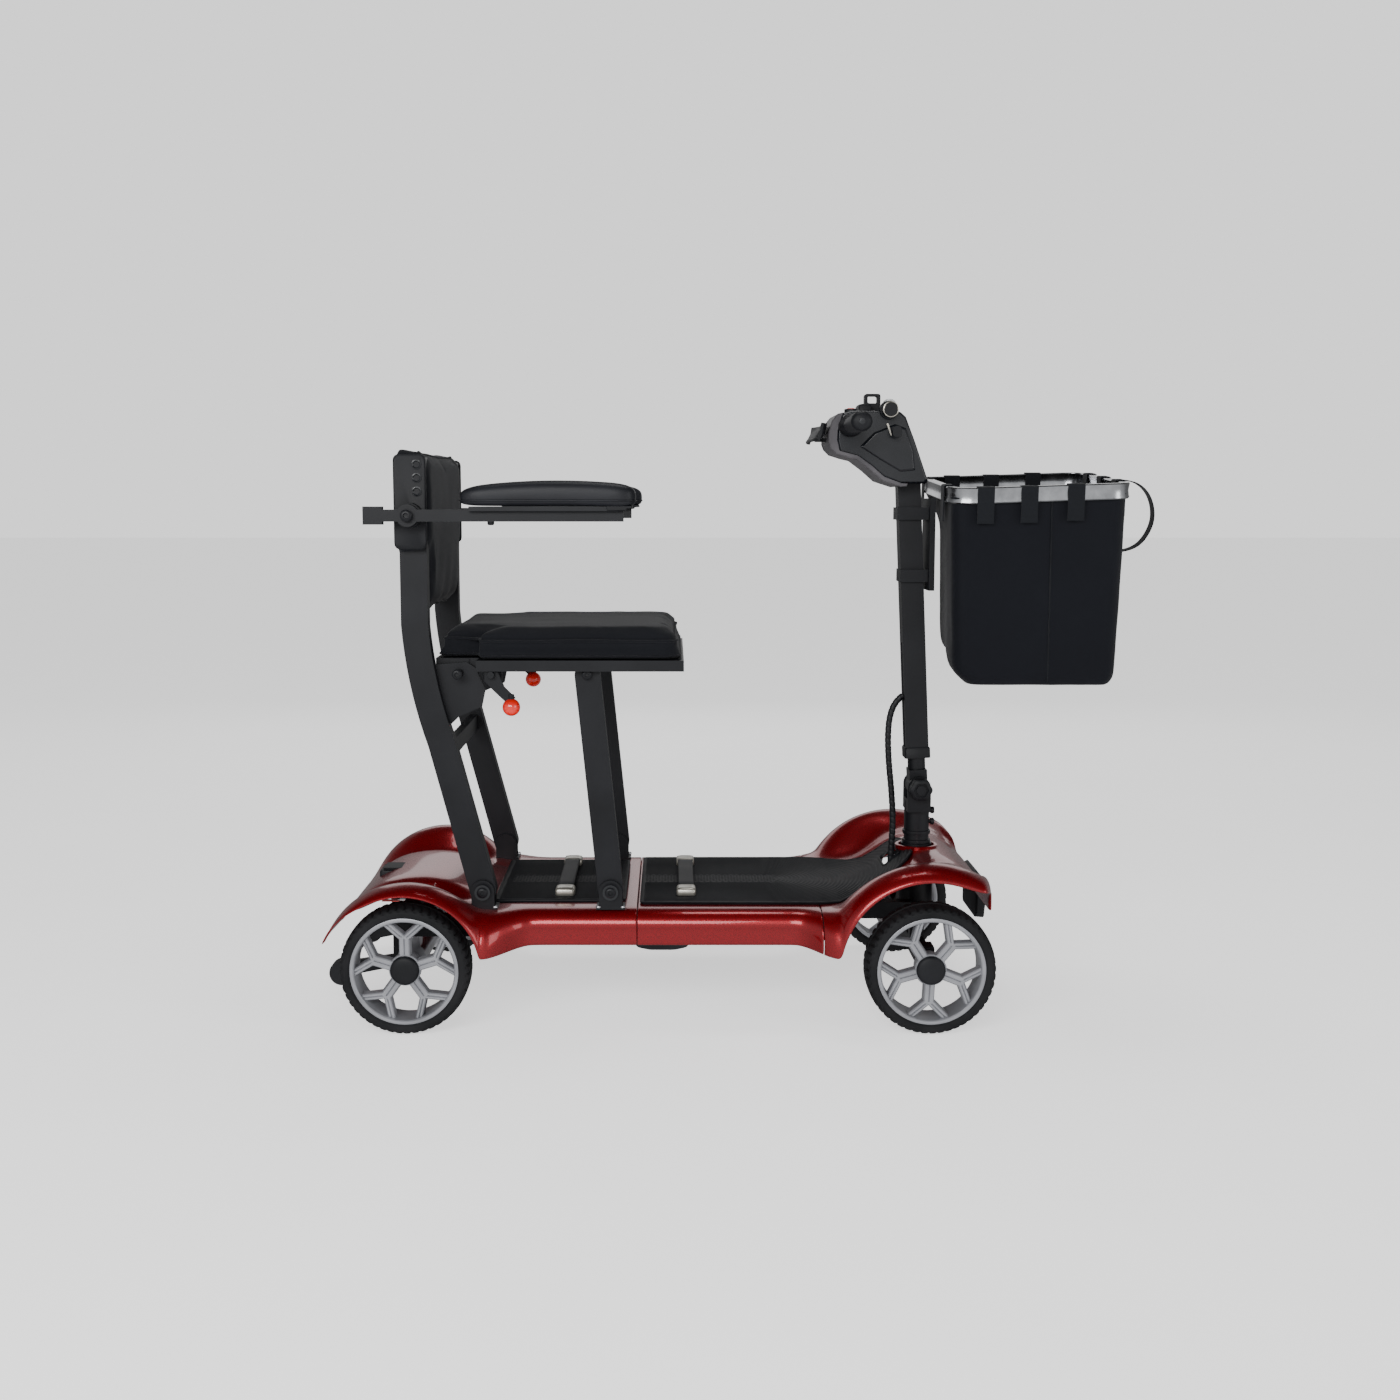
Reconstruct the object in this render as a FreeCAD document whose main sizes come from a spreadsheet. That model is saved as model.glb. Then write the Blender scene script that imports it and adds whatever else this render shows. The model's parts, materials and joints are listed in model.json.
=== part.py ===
"""A four-wheeled folding mobility scooter, built as separate pieces that are pinned and bolted together.

X points to the front, Y to the left of the rider and Z up. The design datum is on the floor under the
middle of the wheelbase, and every piece is then shifted so that the origin lies under the middle of the
whole scooter.
"""
import FreeCAD, Part
import Sketcher
import math
import os
import re

doc = FreeCAD.newDocument("mobility_scooter")
sheet = doc.addObject("Spreadsheet::Sheet", "sizes")

SIZES = {
    # whole scooter
    "origin_shift": 111.5,
    "axle_x": 361,
    "axle_height": 90,
    # wheels
    "tyre_radius": 90,
    "tread_half": 27,
    "rim_radius": 74,
    "wheel_y": 208.5,
    "hub_radius": 21,
    "axle_radius": 8,
    "running_gap": 0.1,
    "spoke_width": 16,
    # bodywork
    "deck_top": 163,
    "deck_bottom": 111,
    "deck_half": 190,
    "skin": 3,
    "rear_seam": -43,
    "front_seam": 214,
    "tail_x": -470,
    "nose_x": 452,
    "fender_half": 238,
    "rear_arch": 104,
    "rear_crest": 118,
    "front_arch": 124,
    "front_crest": 145,
    "front_core": 128,
    "rear_core": 164,
    "column_x": 371,
    # battery and mats
    "lid_rear": -248,
    "lid_front": -60,
    "lid_half": 132,
    "mat_half": 152,
    "mat_thick": 4,
    # seat frame
    "leg_y": 162,
    "leg_thick": 22,
    "leg_half": 18.5,
    "deck_pivot_z": 188.5,
    "rear_pivot_x": -258,
    "front_pivot_x": -80,
    "seat_lean": -31,
    "seat_rise": 304.5,
    "pin_radius": 6,
    "seat_rear": -322,
    "seat_front": 22,
    "seat_half": 187,
    "notch_front": -262,
    "notch_half": 148,
    "seat_bottom": 513,
    "seat_top": 552,
    "pad_rear": -374,
    "pad_front": -328,
    "pad_bottom": 568,
    "pad_top": 808,
    # armrests
    "arm_y": 215,
    "arm_pivot_x": -347,
    "arm_pivot_z": 710,
    "arm_rear": -406,
    "arm_front": -59,
    # tiller, measured along its own leaning axis from the fold pivot
    "pivot_z": 308,
    "tiller_lean": 2.75,
    "column_radius": 18.5,
    "post_radius": 13,
    "stem_side": 33,
    "stem_wall": 2.5,
    "stem_low": 44,
    "stem_high": 452,
    # basket
    "basket_rear": 8,
    "basket_length": 262,
    "basket_depth": 274,
    "basket_half": 146,
    "basket_roll": 3.9,
    "basket_rim_z": 749,
    # steering and small parts
    "kingpin_y": 165,
    "steer_arm": 45,
    "roller_x": -468,
    "roller_z": 57,
    "release_x": -242,
    "grip_x": 259,
    "grip_z": 835,
    "paddle_x": 262,
    "cable_radius": 4.75,
}
for row, (alias, size) in enumerate(SIZES.items(), start=1):
    sheet.set(f"A{row}", alias)
    sheet.set(f"B{row}", str(size))
    sheet.setAlias(f"B{row}", alias)
doc.recompute()

WORD = re.compile(r"[a-z][a-z_]+")
FORE_AFT = FreeCAD.Rotation(FreeCAD.Vector(0, 1, 0), 90)
SIDEWAYS = FreeCAD.Rotation(FreeCAD.Vector(1, 0, 0), -90)
UPRIGHT = FreeCAD.Rotation()
AXES = {"x": FORE_AFT, "y": SIDEWAYS, "z": UPRIGHT}
nodes = []


def formula(text):
    """The sheet expression for a size written with the sheet's aliases."""
    return WORD.sub(lambda m: f"sizes.{m[0]}" if m[0] in SIZES else m[0], str(text))


def size(alias):
    return float(sheet.get(alias))


def bind(part, **formulas):
    """Binds properties to the sheet: Base_x stands for Placement.Base.x."""
    for name, text in formulas.items():
        path = f"Placement.Base.{name[-1]}" if name.startswith("Base_") else name
        part.setExpression(path, formula(text))
    return part


def block(x, y, z):
    """A box between two planes on each axis."""
    box = doc.addObject("Part::Box", "block")
    spans = zip(("Length", "Width", "Height"), (x, y, z))
    for name, (low, high) in spans:
        box.setExpression(name, formula(f"({high})-({low})"))
    return bind(box, Base_x=x[0], Base_y=y[0], Base_z=z[0])


def rod(axis, radius, start, length, radius_name="Radius"):
    """A cylinder along an axis from a start point."""
    cylinder = doc.addObject("Part::Cylinder", "rod")
    cylinder.Placement.Rotation = AXES[axis]
    bind(cylinder, Height=length, Base_x=start[0], Base_y=start[1], Base_z=start[2])
    return bind(cylinder, **{radius_name: radius})


def ball(radius, centre):
    sphere = doc.addObject("Part::Sphere", "ball")
    return bind(sphere, Radius=radius, Base_x=centre[0], Base_y=centre[1], Base_z=centre[2])


def fuse(*parts):
    union = doc.addObject("Part::MultiFuse", "union")
    union.Shapes = parts
    return union


def cut(base, *tools):
    result = doc.addObject("Part::Cut", "remainder")
    result.Base = base
    result.Tool = tools[0] if len(tools) == 1 else fuse(*tools)
    return result


def common(first, second):
    overlap = doc.addObject("Part::Common", "overlap")
    overlap.Base = first
    overlap.Tool = second
    return overlap


def group(*parts):
    """Separate solids that share one node."""
    together = doc.addObject("Part::Compound", "group")
    together.Links = parts
    return together


def moved(part, x=0, y=0, z=0):
    """The part in a compound of its own, moved by sheet sizes."""
    return bind(group(part), Base_x=x, Base_y=y, Base_z=z)


def mirrored(part):
    """The same part on the other side of the centre plane."""
    mirror = doc.addObject("Part::Mirroring", "mirror")
    mirror.Source = part
    mirror.Normal = (0, 1, 0)
    return mirror


def both(part):
    return group(part, mirrored(part))


def pin(sketch, point, place, corner):
    """Holds one end of an edge at a corner whose two coordinates are bound to the sheet."""
    for kind, text in zip(("DistanceX", "DistanceY"), corner[:2]):
        place_on = sketch.addConstraint(Sketcher.Constraint(kind, -1, 1, point, place, number(text)))
        sketch.setExpression(f"Constraints[{place_on}]", formula(text))


def outline(sketch, corners):
    """A closed outline: (x, z) ends a straight edge and (x, z, radius) an arc, bulging left if radius > 0."""
    values = [FreeCAD.Vector(number(c[0]), number(c[1]), 0) for c in corners]
    starts = []
    ends = []
    for i, corner in enumerate(corners):
        start, end = values[i - 1], values[i]
        if len(corner) == 2:
            edge = sketch.addGeometry(Part.LineSegment(start, end))
            starts.append((edge, 1))
            ends.append((edge, 2))
            continue
        radius = abs(corner[2])
        clockwise = corner[2] > 0
        chord = end - start
        left = FreeCAD.Vector(-chord.y, chord.x, 0).normalize()
        inset = math.sqrt(radius ** 2 - (chord.Length / 2) ** 2)
        centre = (start + end) / 2 + left * (-inset if clockwise else inset)
        first, last = (end, start) if clockwise else (start, end)
        begin, finish = [math.atan2(p.y - centre.y, p.x - centre.x) for p in (first, last)]
        finish += 2 * math.pi if finish < begin else 0
        circle = Part.Circle(centre, FreeCAD.Vector(0, 0, 1), radius)
        edge = sketch.addGeometry(Part.ArcOfCircle(circle, begin, finish))
        starts.append((edge, 2 if clockwise else 1))
        ends.append((edge, 1 if clockwise else 2))
        sketch.addConstraint(Sketcher.Constraint("Radius", edge, radius))
    for i in range(len(corners)):
        after = (i + 1) % len(corners)
        sketch.addConstraint(Sketcher.Constraint("Coincident", *ends[i], *starts[after]))
        pin(sketch, *ends[i], corners[i])


def number(text):
    """The number that an outline's coordinate starts from, before the sheet drives it."""
    return float(sheet.evalExpression(formula(text)))


def side_plate(corners, y):
    """A flat piece: an outline in the X-Z plane, thick from one y to the other."""
    body = doc.addObject("PartDesign::Body", "plate")
    sketch = body.newObject("Sketcher::SketchObject", "outline")
    plane = [f for f in body.Origin.OriginFeatures if f.Role == "XZ_Plane"][0]
    sketch.AttachmentSupport = [(plane, "")]
    sketch.MapMode = "FlatFace"
    outline(sketch, corners)
    pad = body.newObject("PartDesign::Pad", "thickness")
    pad.Profile = sketch
    pad.setExpression("Length", formula(f"({y[1]})-({y[0]})"))
    return bind(body, Base_y=y[1])


def ring(corners):
    """A turned piece: an outline in the Y-Z plane, as (y, radius), turned about the Y axis."""
    body = doc.addObject("PartDesign::Body", "turning")
    sketch = body.newObject("Sketcher::SketchObject", "section")
    plane = [f for f in body.Origin.OriginFeatures if f.Role == "YZ_Plane"][0]
    sketch.AttachmentSupport = [(plane, "")]
    sketch.MapMode = "FlatFace"
    outline(sketch, corners)
    turn = body.newObject("PartDesign::Revolution", "turn")
    turn.Profile = sketch
    turn.ReferenceAxis = (sketch, ["H_Axis"])
    turn.Angle = 360
    return body


def node(name, part):
    """Names a finished piece and shifts it from the design datum to the scooter's own origin."""
    piece = part if part.TypeId == "Part::Compound" else group(part)
    piece.Label = name
    bound = dict(piece.ExpressionEngine)
    place = bound.get("Placement.Base.x", bound.get(".Placement.Base.x", "0"))
    piece.setExpression("Placement.Base.x", f"{place}-sizes.origin_shift")
    nodes.append(piece)


def tiller_node(name, part):
    """A piece drawn upright from the fold pivot, leaned back about it."""
    piece = group(part)
    lean = FreeCAD.Rotation(FreeCAD.Vector(0, 1, 0), -size("tiller_lean"))
    piece.Placement.Rotation = lean
    bind(piece, Base_x="column_x", Base_z="pivot_z")
    node(name, piece)


def box_between(x, half, z):
    """A block that is centred on the centre plane."""
    return block(x, (f"-({half})", half), z)


# --- chassis ---------------------------------------------------------------------------------------------
def chassis():
    main_rail = block((-385, 235), (140, 160), (120, 150))
    nose_rail = block((235, 352), (70, 90), (128, 152))
    rear_tie = box_between((-385, -362), 140, (120, 150))
    middle_tie = box_between(("lid_front+4", "lid_front+26"), 140, (120, 150))
    front_tie = box_between((213, 235), 140, (120, 152))
    node("chassis_frame", fuse(both(main_rail), both(nose_rail), rear_tie, middle_tie, front_tie))

    bore = rod("z", "column_radius+0.5", ("column_x", 0, 110), 110)
    head_tube = rod("z", 25, ("column_x", 0, 124), 81)
    head_plate = box_between(("column_x-31", "column_x+29"), 92, (122, 128))
    node("steering_head", cut(fuse(head_tube, head_plate), bore))

    beam = box_between(("axle_x-10", "axle_x+10"), 152, (78, 100))
    hanger = block(("axle_x-10", "axle_x+10"), (70, 90), (98, 122))
    eye = rod("z", 14, ("axle_x", "kingpin_y", 74), 30)
    eye_bore = rod("z", "axle_radius+running_gap", ("axle_x", "kingpin_y", 70), 40)
    node("front_axle_beam", cut(fuse(beam, both(hanger), both(eye)), both(eye_bore)))

    pan = box_between((-256, 236), 138, ("deck_bottom-3", "deck_bottom"))
    bulge = box_between((-55, 37), 88, (74, "deck_bottom-2"))
    node("belly_pan", fuse(pan, bulge))

    axle_tube = rod("y", 20, ("-axle_x", -160, "axle_height"), 320)
    gearbox = block(("-axle_x-41", "-axle_x+39"), (25, 85), (54, 118))
    motor = rod("x", 30, ("-axle_x+39", 55, 88), 60)
    hanger_foot = block(("-axle_x-12", "-axle_x+12"), (140, 160), (100, 120))
    shaft_bore = rod("y", "axle_radius+running_gap", ("-axle_x", 108, "axle_height"), 60)
    housing = fuse(axle_tube, gearbox, motor, both(hanger_foot))
    node("transaxle", cut(housing, both(shaft_bore)))

    lever_hub = rod("z", 7, ("-axle_x-32", 55, 118.3), 5)
    lever_arm = block(("-axle_x-79", "-axle_x-32"), (50, 60), (118.3, 119.8))
    node("freewheel_lever", fuse(lever_hub, lever_arm))

    arm = [("roller_x-10", 48), ("roller_x+10", 48), (-388, 62), (-385.2, 62), (-385.2, 145), (-397, 145),
           (-397, 78), ("roller_x-10", 66)]
    roller_bore = rod("y", 4.1, ("roller_x", 90, "roller_z"), 20)
    node("anti_tip_bracket", both(cut(side_plate(arm, (96, 104)), roller_bore)))
    roller = rod("y", 18, ("roller_x", 106, "roller_z"), 20)
    roller_axle = rod("y", 4, ("roller_x", -126, "roller_z"), 252)
    node("anti_tip_rollers", fuse(both(roller), roller_axle))


# --- red bodywork and mats -------------------------------------------------------------------------------
def arch(sign, inner, crest, x, inside):
    """A fender over one wheel: a thin arched roof with a lip down its outer edge."""
    centre = f"{sign}axle_x"
    roof = rod("y", crest, (centre, inside, "axle_height"), f"fender_half-({inside})")
    depth = f"fender_half-({inside})"
    hollow = rod("y", f"{crest}-skin", (centre, f"{inside}+skin", "axle_height"), f"{depth}-2*skin")
    wheel_space = rod("y", inner, (centre, f"{inside}-2", "axle_height"), f"{depth}+4")
    reach = block(x, (f"{inside}-1", "fender_half+1"), ("deck_bottom+2", 300))
    return common(cut(roof, hollow, wheel_space), reach)


def cowls():
    hump = [("tail_x", 132), (-452, 158), (-400, 188), (-345, 196), (-300, 184), ("lid_rear-6", "deck_top"),
            ("rear_seam", "deck_top"), ("rear_seam", 113), ("lid_rear", 113), (-300, 150), (-400, 150)]
    hollow = [("tail_x+5", 126), (-450, 154), (-400, 184), (-345, 192.5), (-301, 181),
              ("lid_rear-7", "deck_top-skin"), ("rear_seam+1", "deck_top-skin"), ("rear_seam+1", 105),
              ("lid_rear", 105)]
    core = side_plate(hump, ("-rear_core", "rear_core"))
    inside = side_plate(hollow, ("skin-rear_core", "rear_core-skin"))
    sill = box_between((-244, "rear_seam"), "deck_half", ("deck_bottom+2", "deck_top"))
    sill_inside = box_between((-241, "rear_seam+1"), "deck_half-skin", (100, "deck_top-skin"))
    lid_opening = box_between(("lid_rear-1", "lid_front+1"), "lid_half+1", (140, 180))
    shell = cut(fuse(core, sill), inside, sill_inside, lid_opening)
    fender = arch("-", "rear_arch", "rear_crest", ("tail_x", -243), "rear_core-skin")
    port = block((-425, -385), (-20, 20), (150, 200))
    foot_x = ("rear_pivot_x-21", "rear_pivot_x+21")
    foot_space = both(block(foot_x, ("leg_y-17", "leg_y+17"), (140, 220)))
    node("cowl_rear", cut(fuse(shell, both(fender)), port, foot_space))

    outer = box_between(("rear_seam", "front_seam"), "deck_half", ("deck_bottom+2", "deck_top"))
    inner = box_between(("rear_seam-1", "front_seam+1"), "deck_half-skin", (100, "deck_top-skin"))
    node("cowl_middle", cut(outer, inner))

    ramp = [("front_seam", "deck_top"), (246, "deck_top"), (300, 176), (334, 201), (350, 214), (396, 220),
            (430, 206), ("nose_x", 180), ("nose_x", 142), (244, 142), (244, 113), ("front_seam", 113)]
    under = [("front_seam-1", "deck_top-skin"), (246, "deck_top-skin"), (301, 172.5), (336, 198),
             (351, 210.5), (395, 216.5), (428, 203), ("nose_x-3", 178), ("nose_x-3", 130), (247, 130),
             (247, 105), ("front_seam-1", 105)]
    core = side_plate(ramp, ("-front_core", "front_core"))
    inside = side_plate(under, ("skin-front_core", "front_core-skin"))
    sill = box_between(("front_seam", 246), "deck_half", ("deck_bottom+2", "deck_top"))
    sill_inside = box_between(("front_seam-1", 243), "deck_half-skin", (100, "deck_top-skin"))
    column_hole = rod("z", 26.5, ("column_x", 0, 150), 100)
    cable_slot = box_between((318, 343.5), 29, (150, 240))
    shell = cut(fuse(core, sill), inside, sill_inside, column_hole, cable_slot)
    fender = arch("", "front_arch", "front_crest", (244, 436), "front_core-skin")
    tube_hole = box_between(("column_x-30", "column_x+30"), 24, (100, 160))
    node("cowl_front", cut(fuse(shell, both(fender)), tube_hole))

    mat = [("rear_seam+3", "deck_top"), (246, "deck_top"), (300, 176), (311, 184.2),
           (308.5, "184.2+mat_thick"), (299, "176+mat_thick"), (245, "deck_top+mat_thick"),
           ("rear_seam+3", "deck_top+mat_thick")]
    rear_mat = box_between(("rear_seam+3", 243), "mat_half", ("deck_top", "deck_top+mat_thick"))
    ramp_mat = side_plate(mat, ("3.5-front_core", "front_core-3.5"))
    node("front_mat", fuse(ramp_mat, rear_mat))

    bumper = [("nose_x+0.5", 118), ("nose_x+0.5", 186), ("nose_x+12", 178), ("nose_x+19", 150),
              ("nose_x+14", 118)]
    lamp = box_between(("nose_x+19.2", "nose_x+22"), 34, (140, 162))
    node("nose_bumper", side_plate(bumper, (-60, 60)))
    node("headlight", lamp)
    node("front_carry_strap", strap(26))


def strap(x):
    """A flat carrying strap that lies along Y, raised a little between its two screwed ends."""
    top = "deck_top+mat_thick"
    ends = both(block((x - 14, x + 14), (84, 114), (top, f"{top}+9")))
    web = box_between((x - 12, x + 12), 92, (f"{top}+6", f"{top}+12"))
    return fuse(ends, web)


def battery():
    pack_height = ("deck_bottom+1", "deck_top-4")
    lid_height = ("deck_top-4", "deck_top+mat_thick")
    node("battery_pack", box_between(("lid_rear+2", "lid_front-2"), "lid_half-2", pack_height))
    node("battery_lid", box_between(("lid_rear", "lid_front"), "lid_half", lid_height))
    node("battery_carry_strap", strap(-148))
    flap = box_between((-424, -386), 19, (184, 187))
    node("charge_port_cap", flap)


# --- wheels ----------------------------------------------------------------------------------------------
def wheel(side, end, phase, stub):
    """Tyre and rim for one corner; the rear rims carry their half shafts, and the front rims are bored."""
    sign = 1 if side == "left" else -1
    tread = [(-24, "rim_radius"), (24, "rim_radius"), ("tread_half", 80), ("tread_half-2", 86),
             (19, "tyre_radius"), (-19, "tyre_radius"), ("2-tread_half", 86), ("-tread_half", 80)]
    barrel = [(-25, 68), (25, 68), (25, "rim_radius"), (-25, "rim_radius")]
    hub = rod("y", "hub_radius", (0, -15, 0), 41)
    spokes = []
    for turn in range(5):
        spoke = block((14, 70), (14, 24), ("-spoke_width/2", "spoke_width/2"))
        turned = group(spoke)
        turned.Placement.Rotation = FreeCAD.Rotation(FreeCAD.Vector(0, 1, 0), -(phase + 72 * turn))
        spokes.append(turned)
    rim = fuse(ring(barrel), hub, *spokes)
    if stub:
        rim = fuse(rim, rod("y", "axle_radius", (0, "112-wheel_y", 0), 100))
    else:
        rim = cut(rim, rod("y", "axle_radius+running_gap", (0, -20, 0), 42))
    for name, piece in (("tyre", ring(tread)), ("rim", rim)):
        part = piece if sign > 0 else mirrored(piece)
        place = {"x": "axle_x" if end == "front" else "-axle_x", "z": "axle_height"}
        node(f"{name}_{end}_{side}", moved(part, y=f"{sign}*wheel_y", **place))


def wheels():
    for side in ("left", "right"):
        wheel(side, "rear", 90, True)
        wheel(side, "front", 51, False)


def knuckle(side):
    kingpin = rod("z", "axle_radius", ("axle_x", "kingpin_y", 66), 46)
    lower = rod("z", 13, ("axle_x", "kingpin_y", 66), 7.6)
    lower_arm = block(("axle_x-10", "axle_x+10"), ("kingpin_y", 187), (66, 73.6))
    upper_arm = block(("axle_x-10", "axle_x+10"), ("kingpin_y", 187), (105, 112))
    plate = block(("axle_x-10", "axle_x+10"), (180.5, 187), (66, 112))
    stub = rod("y", "axle_radius", ("axle_x", 187, "axle_height"), 41)
    arm = block(("axle_x-steer_arm-8", "axle_x+10"), ("kingpin_y-8", "kingpin_y+8"), (105, 112))
    eye = rod("z", 4.3, ("axle_x-steer_arm", "kingpin_y", 100), 20)
    left = cut(fuse(kingpin, lower, lower_arm, upper_arm, plate, stub, arm), eye)
    node(f"knuckle_{side}", left if side == "left" else mirrored(left))


def steering():
    knuckle("left")
    knuckle("right")
    bar = box_between(("axle_x-steer_arm-6", "axle_x-steer_arm+6"), "kingpin_y+8", (112.4, 119))
    tab = box_between(("axle_x-steer_arm-6", "column_x-steer_arm+8"), 8, (112.4, 119))
    end_pin = rod("z", 4, ("axle_x-steer_arm", "kingpin_y", 104), 12)
    middle_pin = rod("z", 4, ("column_x-steer_arm", 0, 104), 12)
    node("track_rod", fuse(bar, tab, both(end_pin), middle_pin))

    tube = rod("z", "column_radius", ("column_x", 0, 105.5), 180)
    collar = rod("z", 23, ("column_x", 0, 205.5), 17)
    pitman = box_between(("column_x-steer_arm-8", "column_x"), 8, (105.5, 112))
    pitman_eye = rod("z", 4.3, ("column_x-steer_arm", 0, 100), 20)
    yoke = box_between(("column_x-17", "column_x+17"), 26, (272, 290))
    ear_end = rod("y", 17, ("column_x", 19, "pivot_z"), 7)
    ear_side = block(("column_x-17", "column_x+17"), (19, 26), (285, "pivot_z"))
    ear = fuse(ear_end, ear_side)
    knob_bore = rod("y", "pin_radius+running_gap", ("column_x", -40, "pivot_z"), 80)
    node("steering_column", cut(fuse(tube, collar, pitman, yoke, both(ear)), pitman_eye, knob_bore))

    grip = rod("y", 17, ("column_x", -45, "pivot_z"), 18.5)
    bolt = rod("y", "pin_radius", ("column_x", -45, "pivot_z"), 71)
    node("fold_knob", fuse(grip, bolt))


# --- seat ------------------------------------------------------------------------------------------------
def leg_feet():
    """Four alike clevis feet, each with its bolt."""
    feet = []
    for x in ("rear_pivot_x", "front_pivot_x"):
        parts = [block((f"{x}-20", f"{x}+20"), ("leg_y-16", "leg_y+16"), ("deck_top", "deck_top+3"))]
        for low, high in (("leg_y-16", "leg_y-11.5"), ("leg_y+11.5", "leg_y+16")):
            parts.append(block((f"{x}-16", f"{x}+16"), (low, high), ("deck_top", "deck_pivot_z")))
            parts.append(rod("y", 16, (x, low, "deck_pivot_z"), 4.5))
        parts.append(rod("y", "pin_radius", (x, "leg_y-16", "deck_pivot_z"), 37))
        if x == "rear_pivot_x":
            parts.append(block((f"{x}-12", f"{x}+12"), ("leg_y-14", "leg_y-3"), (150.3, "deck_top")))
        feet.append(both(fuse(*parts)))
    node("seat_feet", group(*feet))


def seat_frame_legs():
    top_x = "rear_pivot_x+seat_lean"
    pivot_z = "deck_pivot_z+seat_rise"
    span = ("leg_y-leg_thick/2", "leg_y+leg_thick/2")
    curve = [("rear_pivot_x+17.9", "deck_pivot_z+4.7", -18.6), ("rear_pivot_x-37", 401.7),
             ("arm_pivot_x+leg_half", 560, 628), ("arm_pivot_x+leg_half", 788), ("arm_pivot_x-leg_half", 788),
             ("arm_pivot_x-leg_half", 560), ("rear_pivot_x-73", 392.3, -665),
             ("rear_pivot_x-17.9", "deck_pivot_z-4.7")]
    gusset = [(-335, 504), (-278, 508), (-266, 500), (-253, 470), (-258, 446), (-290, 432), (-318, 405),
              (-325, 440)]
    tube = side_plate(curve, span)
    web = side_plate(gusset, ("leg_y-11", "leg_y-5"))
    deck_hole = rod("y", "pin_radius+running_gap", ("rear_pivot_x", 140, "deck_pivot_z"), 44)
    seat_hole = rod("y", "pin_radius+running_gap", (top_x, 140, pivot_z), 44)
    brace = box_between((-313, -301), "leg_y-5", (371, 395))
    node("rear_legs", fuse(both(cut(fuse(tube, web), deck_hole, seat_hole)), brace))

    for side in ("left", "right"):
        straight = [("front_pivot_x+17.4", "deck_pivot_z+1.8", -17.6),
                    ("front_pivot_x+seat_lean+17.4", f"{pivot_z}+1.8"),
                    ("front_pivot_x+seat_lean-17.4", f"{pivot_z}-1.8", -17.6),
                    ("front_pivot_x-17.4", "deck_pivot_z-1.8")]
        bar = side_plate(straight, span)
        low_hole = rod("y", "pin_radius+running_gap", ("front_pivot_x", 140, "deck_pivot_z"), 44)
        high_hole = rod("y", "pin_radius+running_gap", ("front_pivot_x+seat_lean", 140, pivot_z), 44)
        leg = cut(bar, low_hole, high_hole)
        node(f"front_leg_{side}", leg if side == "left" else mirrored(leg))


def seat():
    top_x = "rear_pivot_x+seat_lean"
    pivot_z = "deck_pivot_z+seat_rise"
    notch = both(block(("seat_rear-1", "notch_front"), ("notch_half", 200), (480, 600)))
    pan = box_between(("seat_rear", "seat_front"), "seat_half+1", (498, "seat_bottom"))
    pan_inside = box_between(("seat_rear+3", "seat_front-3"), "seat_half-2", (490, "seat_bottom-2"))
    lugs = []
    for x in (top_x, "front_pivot_x+seat_lean"):
        lugs.append(both(block((f"{x}-13", f"{x}+13"), (142, 150), (478, "seat_bottom-1"))))
        lugs.append(both(rod("y", "pin_radius", (x, 142, pivot_z), 36)))
    shaft_lug = block(("release_x-10", "release_x+10"), (130, 138), (480, "seat_bottom-1"))
    shaft_bore = rod("y", 5.2, ("release_x", 120, pivot_z), 30)
    wall_span = ("notch_half-3", "notch_half")
    notch_wall = both(block(("seat_rear", "notch_front+3"), wall_span, (498, "seat_bottom")))
    frame = cut(fuse(cut(pan, pan_inside), both(shaft_lug)), notch, both(shaft_bore))
    node("seat_frame", fuse(frame, notch_wall, *lugs))
    cushion = box_between(("seat_rear", "seat_front"), "seat_half", ("seat_bottom", "seat_top"))
    node("seat_cushion", cut(cushion, notch))

    shaft = rod("y", 5, ("release_x", -184, pivot_z), 368)
    arm = [("release_x-9", f"{pivot_z}+4"), ("release_x+9", f"{pivot_z}+4"), ("release_x+34", 460),
           ("release_x+20", 450), ("release_x-9", f"{pivot_z}-8")]
    levers = both(side_plate(arm, (177, 182)))
    knobs = both(ball(12, ("release_x+27", 179.5, 448)))
    node("seat_release_levers", fuse(shaft, levers, knobs))


def backrest():
    upper = box_between(("pad_rear", "pad_front"), "seat_half-1", (642, "pad_top"))
    lower = box_between(("pad_rear+14", "pad_front"), 148, ("pad_bottom", 642))
    channel = both(block(("arm_pivot_x-leg_half-1", "pad_front+1"), (149.5, 174.5), (640, 790)))
    node("backrest_pad", cut(fuse(upper, lower), channel))


def armrests():
    bar_span = ("arm_y-6", "arm_y+6")
    bracket_x = ("arm_pivot_x-20", "arm_pivot_x+20")
    boss = fuse(block(bracket_x, ("seat_half-0.5", "seat_half+1"), (690, 730)),
                rod("y", 17, ("arm_pivot_x", "seat_half", "arm_pivot_z"), "arm_y-6.4-seat_half"),
                rod("y", "pin_radius", ("arm_pivot_x", "leg_y+11", "arm_pivot_z"), 54))
    node("armrest_brackets", both(boss))
    for side in ("left", "right"):
        bar = fuse(block(("arm_rear", "arm_front"), bar_span, (702, 718)),
                   block(("arm_rear", "arm_rear+26"), bar_span, (698, 722)),
                   rod("y", 15, ("arm_pivot_x", "arm_y-6", "arm_pivot_z"), 12),
                   block(("arm_front-205", "arm_front-8"), ("arm_y-15", "arm_y+15"), (716, 722)))
        arm = cut(bar, rod("y", "pin_radius+running_gap", ("arm_pivot_x", 190, "arm_pivot_z"), 50))
        node(f"armrest_bar_{side}", arm if side == "left" else mirrored(arm))
        pad = block(("arm_front-217", "arm_front+17"), ("arm_y-23", "arm_y+23"), (722, 757))
        node(f"armrest_pad_{side}", pad if side == "left" else mirrored(pad))


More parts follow.
